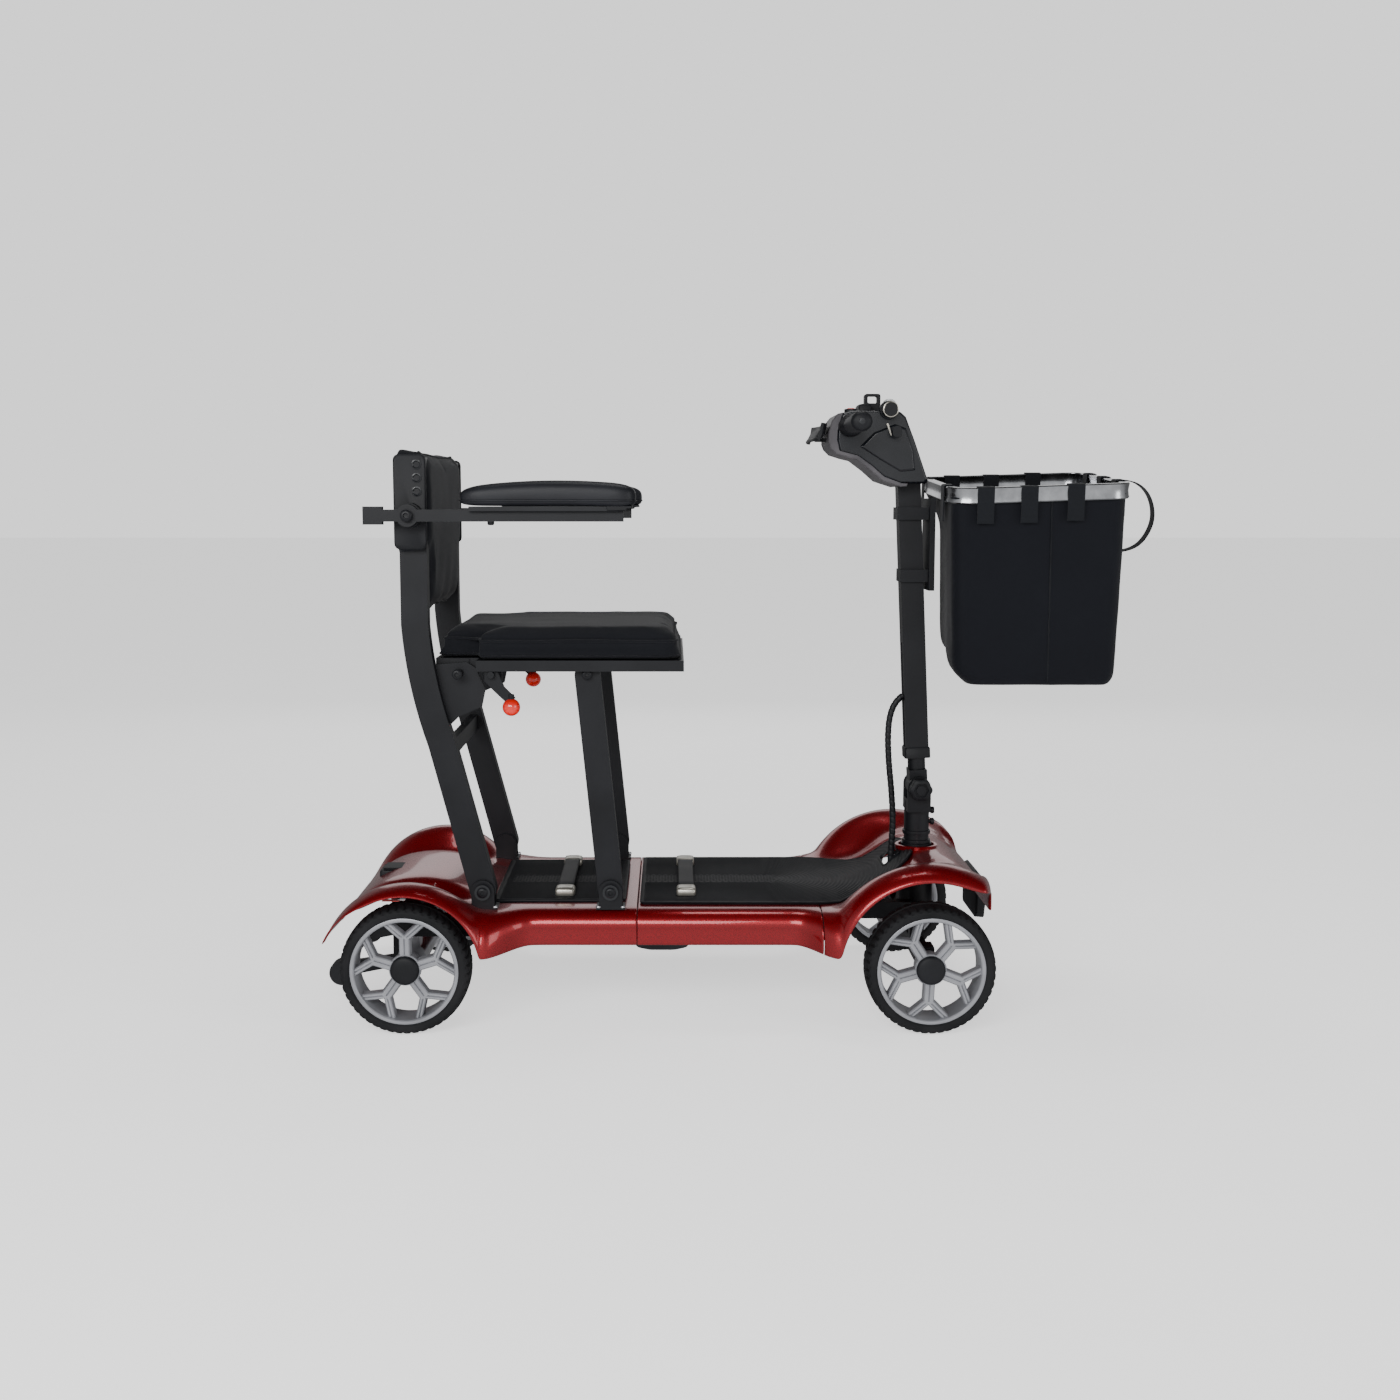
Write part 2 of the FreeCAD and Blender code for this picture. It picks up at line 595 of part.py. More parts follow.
def stem_space(gap, low, high):
    """The leaned room that the stem takes, with a gap all round."""
    span = (f"-stem_side/2-{gap}", f"stem_side/2+{gap}")
    room = group(block(span, span, (low, high)))
    room.Placement.Rotation = FreeCAD.Rotation(FreeCAD.Vector(0, 1, 0), -size("tiller_lean"))
    return bind(room, Base_x="column_x", Base_z="pivot_z")


# --- tiller ----------------------------------------------------------------------------------------------
def tiller():
    tongue = fuse(rod("y", 16, (0, -18, 0), 36), block((-13, 13), (-18, 18), (0, 26)))
    post = rod("z", "post_radius", (0, 0, 20), 180)
    bolt_bore = rod("y", "pin_radius+0.2", (0, -30, 0), 60)
    tiller_node("tiller_mast", cut(fuse(tongue, post), bolt_bore))

    half = "stem_side/2"
    hollow = f"{half}-stem_wall"
    outer = block((f"-({half})", half), (f"-({half})", half), ("stem_low", "stem_high"))
    bore = block((f"-({hollow})", hollow), (f"-({hollow})", hollow), ("stem_low-1", "stem_high-20"))
    slot = block((f"-({half})-1", 0), (-6, 6), ("stem_low-1", 215))
    tiller_node("tiller_stem", cut(outer, bore, slot))

    clamp = box_between((338, 392), 23, (612, 630))
    upper_clamp = box_between((332, 384), 23, (702, 720))
    plate = box_between((377.5, 385.5), 36, (600, 733))
    front_half = box_between((320, 385.5), 60, (590, 740))
    bracket = common(fuse(clamp, upper_clamp, plate), front_half)
    node("basket_bracket", cut(bracket, stem_space(0.3, 250, 480)))


def tiller_head():
    lower = [(228, 812), (236, 797), (255, 791), (268, 788), (288, 773), (305, 758), (331, 749.5), (371, 752),
             (372, 758), (352, 812)]
    upper = [(352, 812.2), (337, 850), (330, 856), (273, 858), (256, 857), (240, 852), (228, 840),
             (227, 812.2)]
    tongue_slot = box_between((215, 276), 16, (808, 826))
    paddle_pivot = rod("z", 5.2, ("paddle_x", 0, 800), 40)
    stem_socket = stem_space(0.2, 400, "stem_high+0.2")
    node("head_lower_shell", cut(side_plate(lower, (-58, 58)), tongue_slot, paddle_pivot, stem_socket))
    horn_recess = rod("z", 7.4, (262, -30, 854.5), 10)
    node("head_upper_shell", cut(side_plate(upper, (-58, 58)), tongue_slot, paddle_pivot, horn_recess))

    bar = fuse(rod("y", 11, ("grip_x", 58.2, "grip_z"), 60), rod("y", 15, ("grip_x", 96, "grip_z"), 108))
    node("handlebar_grips", both(bar))
    pads = fuse(box_between((203, 217), 84, (812, 823)), box_between((216, "paddle_x"), 6, (814, 820)),
                rod("z", 5, ("paddle_x", 0, 804), 22))
    node("throttle_paddles", pads)
    display = box_between((274, 292), 24, (858.2, 868))
    loop = cut(box_between((284, 307), 9, (858.2, 883)), box_between((289, 302), 12, (870, 879)))
    node("battery_gauge", fuse(display, loop))
    node("speed_dial", rod("y", 11, (313, -82, 857), 23.6))
    node("horn_button", rod("z", 7, (262, -30, 858), 3.5))
    key = fuse(rod("y", 4, (322, -70, 826), 11.8), block((320, 324), (-84, -69), (818, 834)))
    node("ignition_key", key)


def hung(part):
    """Drawn level about the middle of the rear end of the rim, then rolled as the basket hangs."""
    rolled = group(part)
    rolled.Placement.Rotation = FreeCAD.Rotation(FreeCAD.Vector(1, 0, 0), size("basket_roll"))
    return bind(rolled, Base_x="column_x+basket_rear", Base_z="basket_rim_z")


def basket():
    length, low = "basket_length", "-basket_depth"
    rim_outer = box_between((8, length), "basket_half+2", (-11, 11))
    rim_inner = box_between((20, f"{length}-12"), "basket_half-10", (-12, 12))
    node("basket_rim", hung(cut(rim_outer, rim_inner)))

    outside = [(20, f"{low}+40"), (34, f"{low}+12"), (60, low), (f"{length}-18", low),
               (f"{length}-10", f"{low}+8"), (f"{length}-3", -11.3), (11, -11.3)]
    inside = [(24, f"{low}+42"), (38, f"{low}+15"), (62, f"{low}+4"), (f"{length}-20", f"{low}+4"),
              (f"{length}-14", f"{low}+10"), (f"{length}-7", -5), (15, -5)]
    bag = cut(side_plate(outside, ("2-basket_half", "basket_half-2")),
              side_plate(inside, ("6-basket_half", "basket_half-6")))
    node("basket_bag", hung(bag))

    loop = [(f"{length}+0.5", 4), (f"{length}+36", 9), (f"{length}+62", -18), (f"{length}+68", -50),
            (f"{length}+50", -84), (f"{length}+0.5", -96)]
    space = [(f"{length}-1", 1), (f"{length}+35", 6), (f"{length}+59.5", -19), (f"{length}+65.3", -49.5),
             (f"{length}+48.5", -82), (f"{length}-1", -93)]
    band = cut(side_plate(loop, (-10, 10)), side_plate(space, (-12, 12)))
    node("basket_strap", hung(band))


# --- wiring ----------------------------------------------------------------------------------------------
CABLE_ROUTE = [(347.5, 443), (338, 436), (329, 416), (326, 386), (328, 344), (333, 300), (336, 256),
               (334, 216), (333, 192)]


def cable():
    """The steering cable: straight runs joined by tangent arcs, from the mast down through the deck slot."""
    points = [FreeCAD.Vector(x, 0, z) for x, z in CABLE_ROUTE]
    edges = []
    start = points[0]
    for before, corner, after in zip(points, points[1:], points[2:]):
        back = (before - corner).normalize()
        ahead = (after - corner).normalize()
        turn = math.pi - back.getAngle(ahead)
        reach = 0.45 * min((before - corner).Length, (after - corner).Length)
        radius = reach / math.tan(turn / 2)
        print(f"cable bend radius {radius:.0f} mm")
        first = corner + back * reach
        last = corner + ahead * reach
        centre = corner + (back + ahead).normalize() * math.hypot(radius, reach)
        middle = centre + (corner - centre).normalize() * radius
        edges.append(Part.LineSegment(start, first).toShape())
        edges.append(Part.Arc(first, middle, last).toShape())
        start = last
    edges.append(Part.LineSegment(start, points[-1]).toShape())
    path = Part.Wire(edges)
    section = Part.Wire(Part.makeCircle(size("cable_radius"), points[0], points[1] - points[0]))
    tube = path.makePipeShell([section], True, True)
    area = math.pi * size("cable_radius") ** 2
    ratio = tube.Volume / (area * path.Length)
    print(f"cable length {path.Length:.0f} mm, volume over section times length {ratio:.4f}")
    feature = doc.addObject("Part::Feature", "cable")
    feature.Shape = tube
    node("steering_cable", feature)


def check_and_write():
    """Refuses to write a document with a failed object or a sub-part that is not a valid solid."""
    doc.recompute()
    failed = [o.Label for o in doc.Objects if {"Invalid", "Error"} & set(o.State)]
    assert not failed, failed
    os.makedirs("parts", exist_ok=True)
    whole = FreeCAD.BoundBox()
    for piece in nodes:
        shape = piece.Shape
        assert not shape.isNull() and shape.isValid() and shape.Volume > 0, piece.Label
        shape.exportStep(f"parts/{piece.Label}.step")
        whole.add(shape.BoundBox)
        print(f"{piece.Label}: {len(shape.Solids)} solid(s), {shape.Volume / 1000:.1f} cm3")
    print(f"{len(nodes)} nodes, x {whole.XMin:.1f} {whole.XMax:.1f}, y {whole.YMin:.1f} {whole.YMax:.1f}, "
          f"z {whole.ZMin:.1f} {whole.ZMax:.1f}")


chassis()
cowls()
battery()
wheels()
steering()
leg_feet()
seat_frame_legs()
seat()
backrest()
armrests()
tiller()
tiller_head()
basket()
cable()
check_and_write()
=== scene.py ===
"""The looks of the four-wheeled folding mobility scooter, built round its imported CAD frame."""
import json
import math

import bmesh
import bpy
import numpy as np
from mathutils.bvhtree import BVHTree
from mathutils import Euler, Matrix, Vector, noise


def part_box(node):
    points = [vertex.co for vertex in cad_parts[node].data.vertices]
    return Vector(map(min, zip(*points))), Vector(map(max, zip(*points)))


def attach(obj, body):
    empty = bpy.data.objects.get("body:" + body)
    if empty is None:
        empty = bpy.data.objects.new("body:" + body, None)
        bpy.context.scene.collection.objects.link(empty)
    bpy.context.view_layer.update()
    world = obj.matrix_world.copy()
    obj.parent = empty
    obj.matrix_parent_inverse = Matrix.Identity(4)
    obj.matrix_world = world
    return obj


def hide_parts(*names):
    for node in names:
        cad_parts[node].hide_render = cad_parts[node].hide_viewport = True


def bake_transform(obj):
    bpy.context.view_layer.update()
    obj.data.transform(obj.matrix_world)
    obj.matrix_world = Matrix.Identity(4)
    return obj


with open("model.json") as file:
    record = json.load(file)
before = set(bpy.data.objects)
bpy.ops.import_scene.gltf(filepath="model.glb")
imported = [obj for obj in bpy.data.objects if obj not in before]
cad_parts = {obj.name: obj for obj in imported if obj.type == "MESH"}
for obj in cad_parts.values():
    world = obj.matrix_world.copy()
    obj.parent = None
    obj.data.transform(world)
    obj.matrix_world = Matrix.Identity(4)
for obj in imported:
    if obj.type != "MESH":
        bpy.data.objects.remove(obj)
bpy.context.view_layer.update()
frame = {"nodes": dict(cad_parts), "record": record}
MM = 0.001


def middle(node):
    low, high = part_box(node)
    return (low + high) / 2


# lengths are in millimetres from the floor under the middle of the wheelbase
AXLE_REAR = middle("rim_rear_left")
AXLE_FRONT = middle("rim_front_left")
DATUM = (AXLE_REAR.x + AXLE_FRONT.x) / 2
WHEELBASE = (AXLE_FRONT.x - AXLE_REAR.x) / MM
AXLE_X = WHEELBASE / 2
AXLE_Z = AXLE_FRONT.z / MM
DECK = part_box("cowl_middle")[1].z / MM


def at(x, y, z):
    return Vector((DATUM + x * MM, y * MM, z * MM))


def span(node):
    """The node's box in millimetres from the datum."""
    low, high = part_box(node)
    move = Vector((DATUM, 0, 0))
    return (low - move) / MM, (high - move) / MM


# --- camera and light ------------------------------------------------------------------------------------
CAMERA_AT = (-0.1045, -2.432, 0.7306)
CAMERA_PITCH = 83.1
camera = bpy.data.objects.new("camera", bpy.data.cameras.new("camera"))
camera.location = CAMERA_AT
camera.rotation_euler = Euler((math.radians(CAMERA_PITCH), 0, 0))
camera.data.lens = 42.5
camera.data.sensor_width = 36
camera.data.shift_x = 0.0193
bpy.context.scene.collection.objects.link(camera)
bpy.context.scene.camera = camera


def light(name, place, aim, size, power):
    lamp = bpy.data.lights.new(name, "AREA")
    lamp.shape = "RECTANGLE"
    lamp.size, lamp.size_y = size
    lamp.energy = power
    holder = bpy.data.objects.new(name, lamp)
    holder.location = place
    holder.rotation_euler = (Vector(aim) - Vector(place)).to_track_quat("-Z", "Y").to_euler()
    bpy.context.scene.collection.objects.link(holder)


light("key", (-1.0, -2.9, 1.7), (0, 0, 0.2), (2.4, 1.0), 70)
light("side", (2.6, -1.8, 1.2), (0, 0, 0.3), (1.0, 1.4), 16)
light("top", (0.1, 0.6, 3.0), (0, 0, 0.2), (1.2, 0.8), 16)
light("back", (0.0, 3.2, 1.4), (0, 0, 0.5), (3.4, 1.2), 12)

# --- materials -------------------------------------------------------------------------------------------
materials = {}


class Finish:
    """A procedural material: two shades mixed by a texture, with its own roughness and bump."""

    def __init__(self, name, dark, light_shade, rough, metallic=0.0, coat=0.0, gloss=0.5):
        self.material = bpy.data.materials.new(name)
        self.material.use_nodes = True
        self.tree = self.material.node_tree
        self.shader = self.tree.nodes["Principled BSDF"]
        self.shader.inputs["Metallic"].default_value = metallic
        self.shader.inputs["Coat Weight"].default_value = coat
        self.shader.inputs["Specular IOR Level"].default_value = gloss
        self.shader.inputs["Coat Roughness"].default_value = 0.06
        self.coordinates = self.tree.nodes.new("ShaderNodeTexCoord").outputs["Object"]
        self.shades = (dark, light_shade)
        self.rough = rough
        self.last_bump = None
        materials[name] = self

    def link(self, start, end):
        self.tree.links.new(start, end)

    def noise(self, scale, detail=4.0):
        node = self.tree.nodes.new("ShaderNodeTexNoise")
        node.inputs["Scale"].default_value = scale
        node.inputs["Detail"].default_value = detail
        self.link(self.coordinates, node.inputs["Vector"])
        return node.outputs["Fac"]

    def cells(self, scale):
        node = self.tree.nodes.new("ShaderNodeTexVoronoi")
        node.inputs["Scale"].default_value = scale
        self.link(self.coordinates, node.inputs["Vector"])
        return node.outputs["Distance"]

    def math(self, operation, first, second=None):
        node = self.tree.nodes.new("ShaderNodeMath")
        node.operation = operation
        for socket, value in zip(node.inputs, (first, second)):
            if isinstance(value, (int, float)):
                socket.default_value = value
            elif value is not None:
                self.link(value, socket)
        return node.outputs[0]

    def threads(self, direction, pitch):
        """A wave from 0 to 1 along a direction, for weave and ribs."""
        dot = self.tree.nodes.new("ShaderNodeVectorMath")
        dot.operation = "DOT_PRODUCT"
        self.link(self.coordinates, dot.inputs[0])
        dot.inputs[1].default_value = direction
        wave = self.math("SINE", self.math("MULTIPLY", dot.outputs["Value"], 2 * math.pi / (pitch * MM)))
        return self.math("MULTIPLY_ADD", wave, 0.5)

    def colour(self, mask):
        ramp = self.tree.nodes.new("ShaderNodeValToRGB")
        ramp.color_ramp.elements[0].color = (*self.shades[0], 1)
        ramp.color_ramp.elements[1].color = (*self.shades[1], 1)
        ramp.color_ramp.elements[0].position = 0.3
        ramp.color_ramp.elements[1].position = 0.7
        self.link(mask, ramp.inputs["Fac"])
        self.link(ramp.outputs["Color"], self.shader.inputs["Base Color"])
        spread = self.tree.nodes.new("ShaderNodeMapRange")
        spread.inputs["To Min"].default_value = self.rough[0]
        spread.inputs["To Max"].default_value = self.rough[1]
        self.link(mask, spread.inputs["Value"])
        self.link(spread.outputs["Result"], self.shader.inputs["Roughness"])
        return self

    def bump(self, height, strength, distance):
        node = self.tree.nodes.new("ShaderNodeBump")
        node.inputs["Strength"].default_value = strength
        node.inputs["Distance"].default_value = distance * MM
        self.link(height, node.inputs["Height"])
        if self.last_bump:
            self.link(self.last_bump, node.inputs["Normal"])
        self.last_bump = node.outputs["Normal"]
        self.link(self.last_bump, self.shader.inputs["Normal"])
        return self


def weave(name, dark, light_shade, pitch, rough=(0.75, 0.95)):
    cloth = Finish(name, dark, light_shade, rough, gloss=0.12)
    warp = cloth.threads((1, 0.5, 0), pitch)
    weft = cloth.threads((0, 0.5, 1), pitch)
    cross = cloth.math("MULTIPLY", warp, weft)
    mask = cloth.math("MULTIPLY_ADD", cross, 0.5)
    worn = cloth.math("ADD", mask, cloth.math("MULTIPLY", cloth.noise(9), 0.5))
    cloth.tree.nodes[mask.node.name].inputs[2].default_value = 0.0
    cloth.shader.inputs["Sheen Weight"].default_value = 0.06
    cloth.shader.inputs["Sheen Roughness"].default_value = 0.5
    return cloth.colour(worn).bump(cross, 0.35, 0.3).bump(cloth.noise(60), 0.15, 0.8)


def make_materials():
    red = Finish("red_cowl", (0.17, 0.0, 0.003), (0.30, 0.0, 0.005), (0.24, 0.32), 0.6, 0.55)
    red.colour(red.noise(900, 1)).bump(red.noise(2500, 1), 0.05, 0.05)
    frame_paint = Finish("black_frame", (0.003, 0.0034, 0.005), (0.007, 0.0075, 0.010), (0.36, 0.48), gloss=0.28)
    frame_paint.colour(frame_paint.noise(14)).bump(frame_paint.noise(1400, 2), 0.18, 0.12)
    gloss = Finish("black_plastic", (0.003, 0.004, 0.006), (0.007, 0.008, 0.011), (0.2, 0.3), gloss=0.5)
    gloss.colour(gloss.noise(18)).bump(gloss.noise(700, 2), 0.03, 0.08)
    moulding = Finish("dark_plastic", (0.004, 0.0045, 0.006), (0.009, 0.0095, 0.012), (0.46, 0.6), gloss=0.25)
    moulding.colour(moulding.noise(20)).bump(moulding.cells(900), 0.15, 0.1)
    mat = Finish("ribbed_mat", (0.004, 0.0045, 0.006), (0.011, 0.0115, 0.014), (0.5, 0.68), gloss=0.25)
    mat.colour(mat.noise(30)).bump(mat.noise(900, 2), 0.2, 0.15)
    silver = Finish("wheel_silver", (0.25, 0.255, 0.275), (0.34, 0.345, 0.37), (0.38, 0.48), 0.5)
    silver.colour(silver.noise(25)).bump(silver.noise(1200, 2), 0.05, 0.08)
    rubber = Finish("tyre", (0.005, 0.0055, 0.0065), (0.013, 0.013, 0.0145), (0.6, 0.82), gloss=0.2)
    rubber.colour(rubber.noise(22)).bump(rubber.noise(600, 3), 0.25, 0.25)
    steel = Finish("steel", (0.32, 0.32, 0.34), (0.5, 0.5, 0.52), (0.24, 0.4), 1.0)
    steel.colour(steel.noise(60)).bump(steel.noise(800, 2), 0.08, 0.08)
    vinyl = Finish("arm_vinyl", (0.006, 0.0065, 0.009), (0.012, 0.013, 0.017), (0.42, 0.56), gloss=0.3)
    vinyl.colour(vinyl.noise(16)).bump(vinyl.cells(520), 0.3, 0.22)
    knob = Finish("red_knob", (0.62, 0.01, 0.004), (0.75, 0.02, 0.008), (0.16, 0.24), 0, 0.8)
    knob.colour(knob.noise(40)).bump(knob.noise(500, 1), 0.03, 0.05)
    rail = Finish("basket_rim", (0.28, 0.285, 0.30), (0.44, 0.45, 0.47), (0.16, 0.28), 1.0)
    rail.colour(rail.noise(50)).bump(rail.threads((0.02, 0.02, 1), 0.5), 0.06, 0.05)
    wrap = Finish("cable_wrap", (0.004, 0.0045, 0.006), (0.010, 0.0105, 0.013), (0.38, 0.55), gloss=0.3)
    wrap.colour(wrap.noise(120)).bump(wrap.noise(900, 2), 0.2, 0.1)
    champagne = Finish("strap_cap", (0.42, 0.40, 0.35), (0.55, 0.53, 0.47), (0.28, 0.4), 0.8, 0.2)
    champagne.colour(champagne.noise(70)).bump(champagne.noise(900, 2), 0.08, 0.08)
    trim = Finish("head_trim", (0.055, 0.052, 0.058), (0.085, 0.08, 0.088), (0.42, 0.54), 0.1, gloss=0.35)
    trim.colour(trim.noise(30)).bump(trim.noise(900, 2), 0.08, 0.08)
    dome = Finish("pale_lens", (0.55, 0.57, 0.58), (0.75, 0.77, 0.78), (0.12, 0.2), 0, 0.6)
    dome.colour(dome.noise(60)).bump(dome.noise(300, 1), 0.03, 0.05)
    lens = Finish("lamp_lens", (0.75, 0.78, 0.8), (0.92, 0.94, 0.96), (0.05, 0.1))
    lens.shader.inputs["Transmission Weight"].default_value = 0.7
    lens.colour(lens.noise(40)).bump(lens.threads((0, 1, 0), 3), 0.3, 0.4)
    reflector = Finish("reflector", (0.45, 0.004, 0.004), (0.7, 0.01, 0.008), (0.1, 0.2), 0, 1.0)
    reflector.colour(reflector.cells(400)).bump(reflector.cells(400), 0.4, 0.4)
    weave("seat_fabric", (0.005, 0.0055, 0.0075), (0.013, 0.014, 0.018), 1.1)
    weave("basket_fabric", (0.0025, 0.003, 0.0055), (0.007, 0.008, 0.012), 0.9, (0.6, 0.8))
    weave("webbing", (0.005, 0.006, 0.008), (0.014, 0.015, 0.019), 1.6, (0.6, 0.8))


make_materials()

# --- mesh helpers ----------------------------------------------------------------------------------------


def piece(name, shape, finish, body, slot=None, replaces=(), smooth=35.0, bevel=0.0, steps=2, subdivide=0,
          thick=0.0, in_metres=False):
    """A mesh piece that rides on a body. Shape is (points, faces), in millimetres from the datum."""
    points, faces = shape
    mesh = bpy.data.meshes.new(name)
    mesh.from_pydata([Vector(p) if in_metres else at(*p) for p in points], [], faces)
    tidy = bmesh.new()
    tidy.from_mesh(mesh)
    bmesh.ops.recalc_face_normals(tidy, faces=tidy.faces)
    tidy.to_mesh(mesh)
    tidy.free()
    mesh.shade_smooth()
    mesh.set_sharp_from_angle(angle=math.radians(smooth))
    mesh.materials.append(materials[finish].material)
    made = bpy.data.objects.new(name, mesh)
    bpy.context.scene.collection.objects.link(made)
    if thick:
        shell = made.modifiers.new("shell", "SOLIDIFY")
        shell.thickness = thick * MM
        shell.offset = -1
    if bevel:
        soften(made, bevel, steps)
    if subdivide:
        made.modifiers.new("smooth", "SUBSURF").levels = subdivide
        made.modifiers["smooth"].render_levels = subdivide
    if body:
        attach(made, body)
    if replaces:
        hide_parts(*replaces)
    return made


def soften(made, width, steps=2):
    edge = made.modifiers.new("edge", "BEVEL")
    edge.width = width * MM
    edge.segments = steps
    edge.limit_method = "ANGLE"
    edge.angle_limit = math.radians(32)
    edge.harden_normals = True


def loft(rings, closed=True, caps=True):
    """Faces through rings of as many points each."""
    count = len(rings[0])
    points = [p for ring in rings for p in ring]
    faces = []
    for row in range(len(rings) - 1):
        for i in range(count if closed else count - 1):
            j = (i + 1) % count
            a, b = row * count, (row + 1) * count
            faces.append((a + i, a + j, b + j, b + i))
    if caps and closed:
        faces.append(tuple(range(count)))
        faces.append(tuple(range(len(points) - count, len(points))))
    return points, faces


def slab(outline, low, high):
    """A flat piece across Y from an outline of (x, z)."""
    return loft([[(x, y, z) for x, z in outline] for y in (low, high)])


def plate(outline, low, high):
    """A flat piece up Z from an outline of (x, y)."""
    return loft([[(x, y, z) for x, y in outline] for z in (low, high)])


def oblong(x, y, radius, corner_steps=5):
    """An outline of (u, v) for a rectangle with round corners."""
    outline = []
    corners = ((x[1], y[1], 0), (x[0], y[1], 90), (x[0], y[0], 180), (x[1], y[0], 270))
    for u, v, turn in corners:
        u_in = u - math.copysign(radius, u - (x[0] + x[1]) / 2)
        v_in = v - math.copysign(radius, v - (y[0] + y[1]) / 2)
        for step in range(corner_steps + 1):
            angle = math.radians(turn + 90 * step / corner_steps)
            outline.append((u_in + radius * math.cos(angle), v_in + radius * math.sin(angle)))
    return outline


def turned(profile, centre, axis="y", steps=40, closed=False, lobes=0, depth=0.0):
    """A turned piece: profile points are (radius, distance along the axis)."""
    rings = []
    for step in range(steps):
        angle = 2 * math.pi * step / steps
        swell = 1 + depth * math.cos(lobes * angle)
        ring = []
        for radius, along in profile:
            u, v = radius * swell * math.cos(angle), radius * swell * math.sin(angle)
            offset = {"x": (along, u, v), "y": (u, along, v), "z": (u, v, along)}[axis]
            ring.append(tuple(c + o for c, o in zip(centre, offset)))
        rings.append(ring)
    rings.append(rings[0])
    points, faces = loft(rings[:-1], closed=closed, caps=False)
    count = len(profile)
    last = (steps - 1) * count
    for i in range(count if closed else count - 1):
        j = (i + 1) % count
        faces.append((last + i, last + j, j, i))
    if not closed:
        faces.append(tuple(step * count for step in range(steps)))
        faces.append(tuple(step * count + count - 1 for step in range(steps)))
    return points, faces


def joined(*shapes):
    points, faces = [], []
    for more_points, more_faces in shapes:
        shift = len(points)
        points += more_points
        faces += [tuple(i + shift for i in face) for face in more_faces]
    return points, faces


def flipped(shape):
    """The same shape on the other side of the centre plane."""
    points, faces = shape
    return [(x, -y, z) for x, y, z in points], [tuple(reversed(f)) for f in faces]


def ease(start, end, value):
    t = min(max((value - start) / (end - start), 0), 1)
    return t * t * (3 - 2 * t)


def mix(first, second, share):
    return first + (second - first) * share


def through(knots, x):
    """A smooth height through knots of (x, height)."""
    for (x0, z0), (x1, z1) in zip(knots, knots[1:]):
        if x <= x1:
            return mix(z0, z1, min(max((x - x0) / (x1 - x0), 0), 1))
    return knots[-1][1]


def bolt(name, centre, side, body, radius=7.0, height=4.0, finish="black_frame"):
    """A domed bolt head with a socket, facing out along Y."""
    outer = [(radius, 0), (radius, 0.55 * height), (0.82 * radius, 0.9 * height), (0.5 * radius, height),
             (0.46 * radius, height), (0.4 * radius, 0.45 * height), (0.3, 0.4 * height)]
    profile = [(r, side * along) for r, along in outer]
    piece(name, turned(profile, centre, steps=24), finish, body, smooth=40)


SIDES = (("left", 1), ("right", -1))

# --- CAD nodes that stay ---------------------------------------------------------------------------------


def dress_nodes():
    """Gives every CAD node its procedural finish, and softens the edges of the metal and plastic ones."""
    bevels = {"black_frame": 1.6, "steel": 0.8, "black_plastic": 1.2, "dark_plastic": 1.2, "red_knob": 0.5}
    for entry in frame["record"]["subparts"]:
        name, slot = entry["node"], entry["material_slot"]
        made = frame["nodes"][name]
        made.data.materials.clear()
        made.data.materials.append(materials[slot].material)
        if slot in bevels and not made.hide_render:
            soften(made, bevels[slot], 2)


# --- red bodywork ----------------------------------------------------------------------------------------
REAR_SEAM = span("cowl_middle")[0].x
FRONT_SEAM = span("cowl_middle")[1].x
TAIL = span("cowl_rear")[0].x
NOSE = span("cowl_front")[1].x
HALF = span("cowl_front")[1].y
SPINE = [(TAIL, 134), (-452, 156), (-430, 175), (-405, 186), (-375, 191), (-345, 192), (-320, 188), (-300, 180),
         (-275, 168), (-254, DECK), (246, DECK), (275, 168.5), (300, 176), (320, 189), (334, 200.5), (350, 212),
         (371, 217), (396, 218), (415, 213), (430, 204), (445, 189), (NOSE, 176)]


def roof(x, radius):
    """The height of a wheel arch of that radius at x."""
    offset = abs(abs(x) - AXLE_X)
    return AXLE_Z + math.sqrt(max(radius ** 2 - offset ** 2, 0))


def body_section(x):
    """Half of the bodywork's section at x, from the centre plane out and down to its lower edge."""
    rear = x < 0
    crest, arch = (118, 104) if rear else (145, 124)
    share = ease(188, 256, -x) if rear else ease(176, 238, x)
    spine = through(SPINE, x)
    domed = roof(x, crest) if abs(abs(x) - AXLE_X) < crest else 0
    top = (DECK + domed + math.hypot(domed - DECK, 9)) / 2 if x > -AXLE_X else domed
    low = roof(x, arch)
    if abs(x) < AXLE_X:
        low = max(low, 107)
    else:
        low = max(low, top - mix(14 if rear else 22, 6, ease(AXLE_X + 50, AXLE_X + 108, abs(x))))
    valley = spine
    if rear:
        valley -= 17 * ease(262, 305, -x) * (1 - ease(430, 462, -x))
    shoulder = (104, 124) if rear else (112, 126)
    foot = 133 if -250 < x < -58 else shoulder[0]
    side = top - low
    fender = [(0, spine), (50, spine), (90, spine - 0.3), (foot, mix(spine - 3, spine, 1 - share)),
              (max(shoulder[1], foot + 4), valley), (142, mix(valley, top, 0.05)),
              (160, mix(valley, top, 0.36)), (177, mix(valley, top, 0.78)), (196, top), (213, top - 0.08 * side),
              (227, top - 0.30 * side), (234.5, top - 0.58 * side), (HALF, top - 0.86 * side), (HALF - 1, low),
              (HALF - 6, low + 0.5)]
    sill = [(0, DECK), (50, DECK), (90, DECK), (foot, DECK), (max(shoulder[1], foot + 4), DECK), (146, DECK),
            (158, DECK), (170, DECK - 0.6), (180, DECK - 4), (186.5, DECK - 11), (189.6, 143), (188.8, 139.6),
            (186.2, 136.5), (186, 114), (180, 113)]
    return [(x, mix(a[0], b[0], share), mix(a[1], b[1], share)) for a, b in zip(sill, fender)]


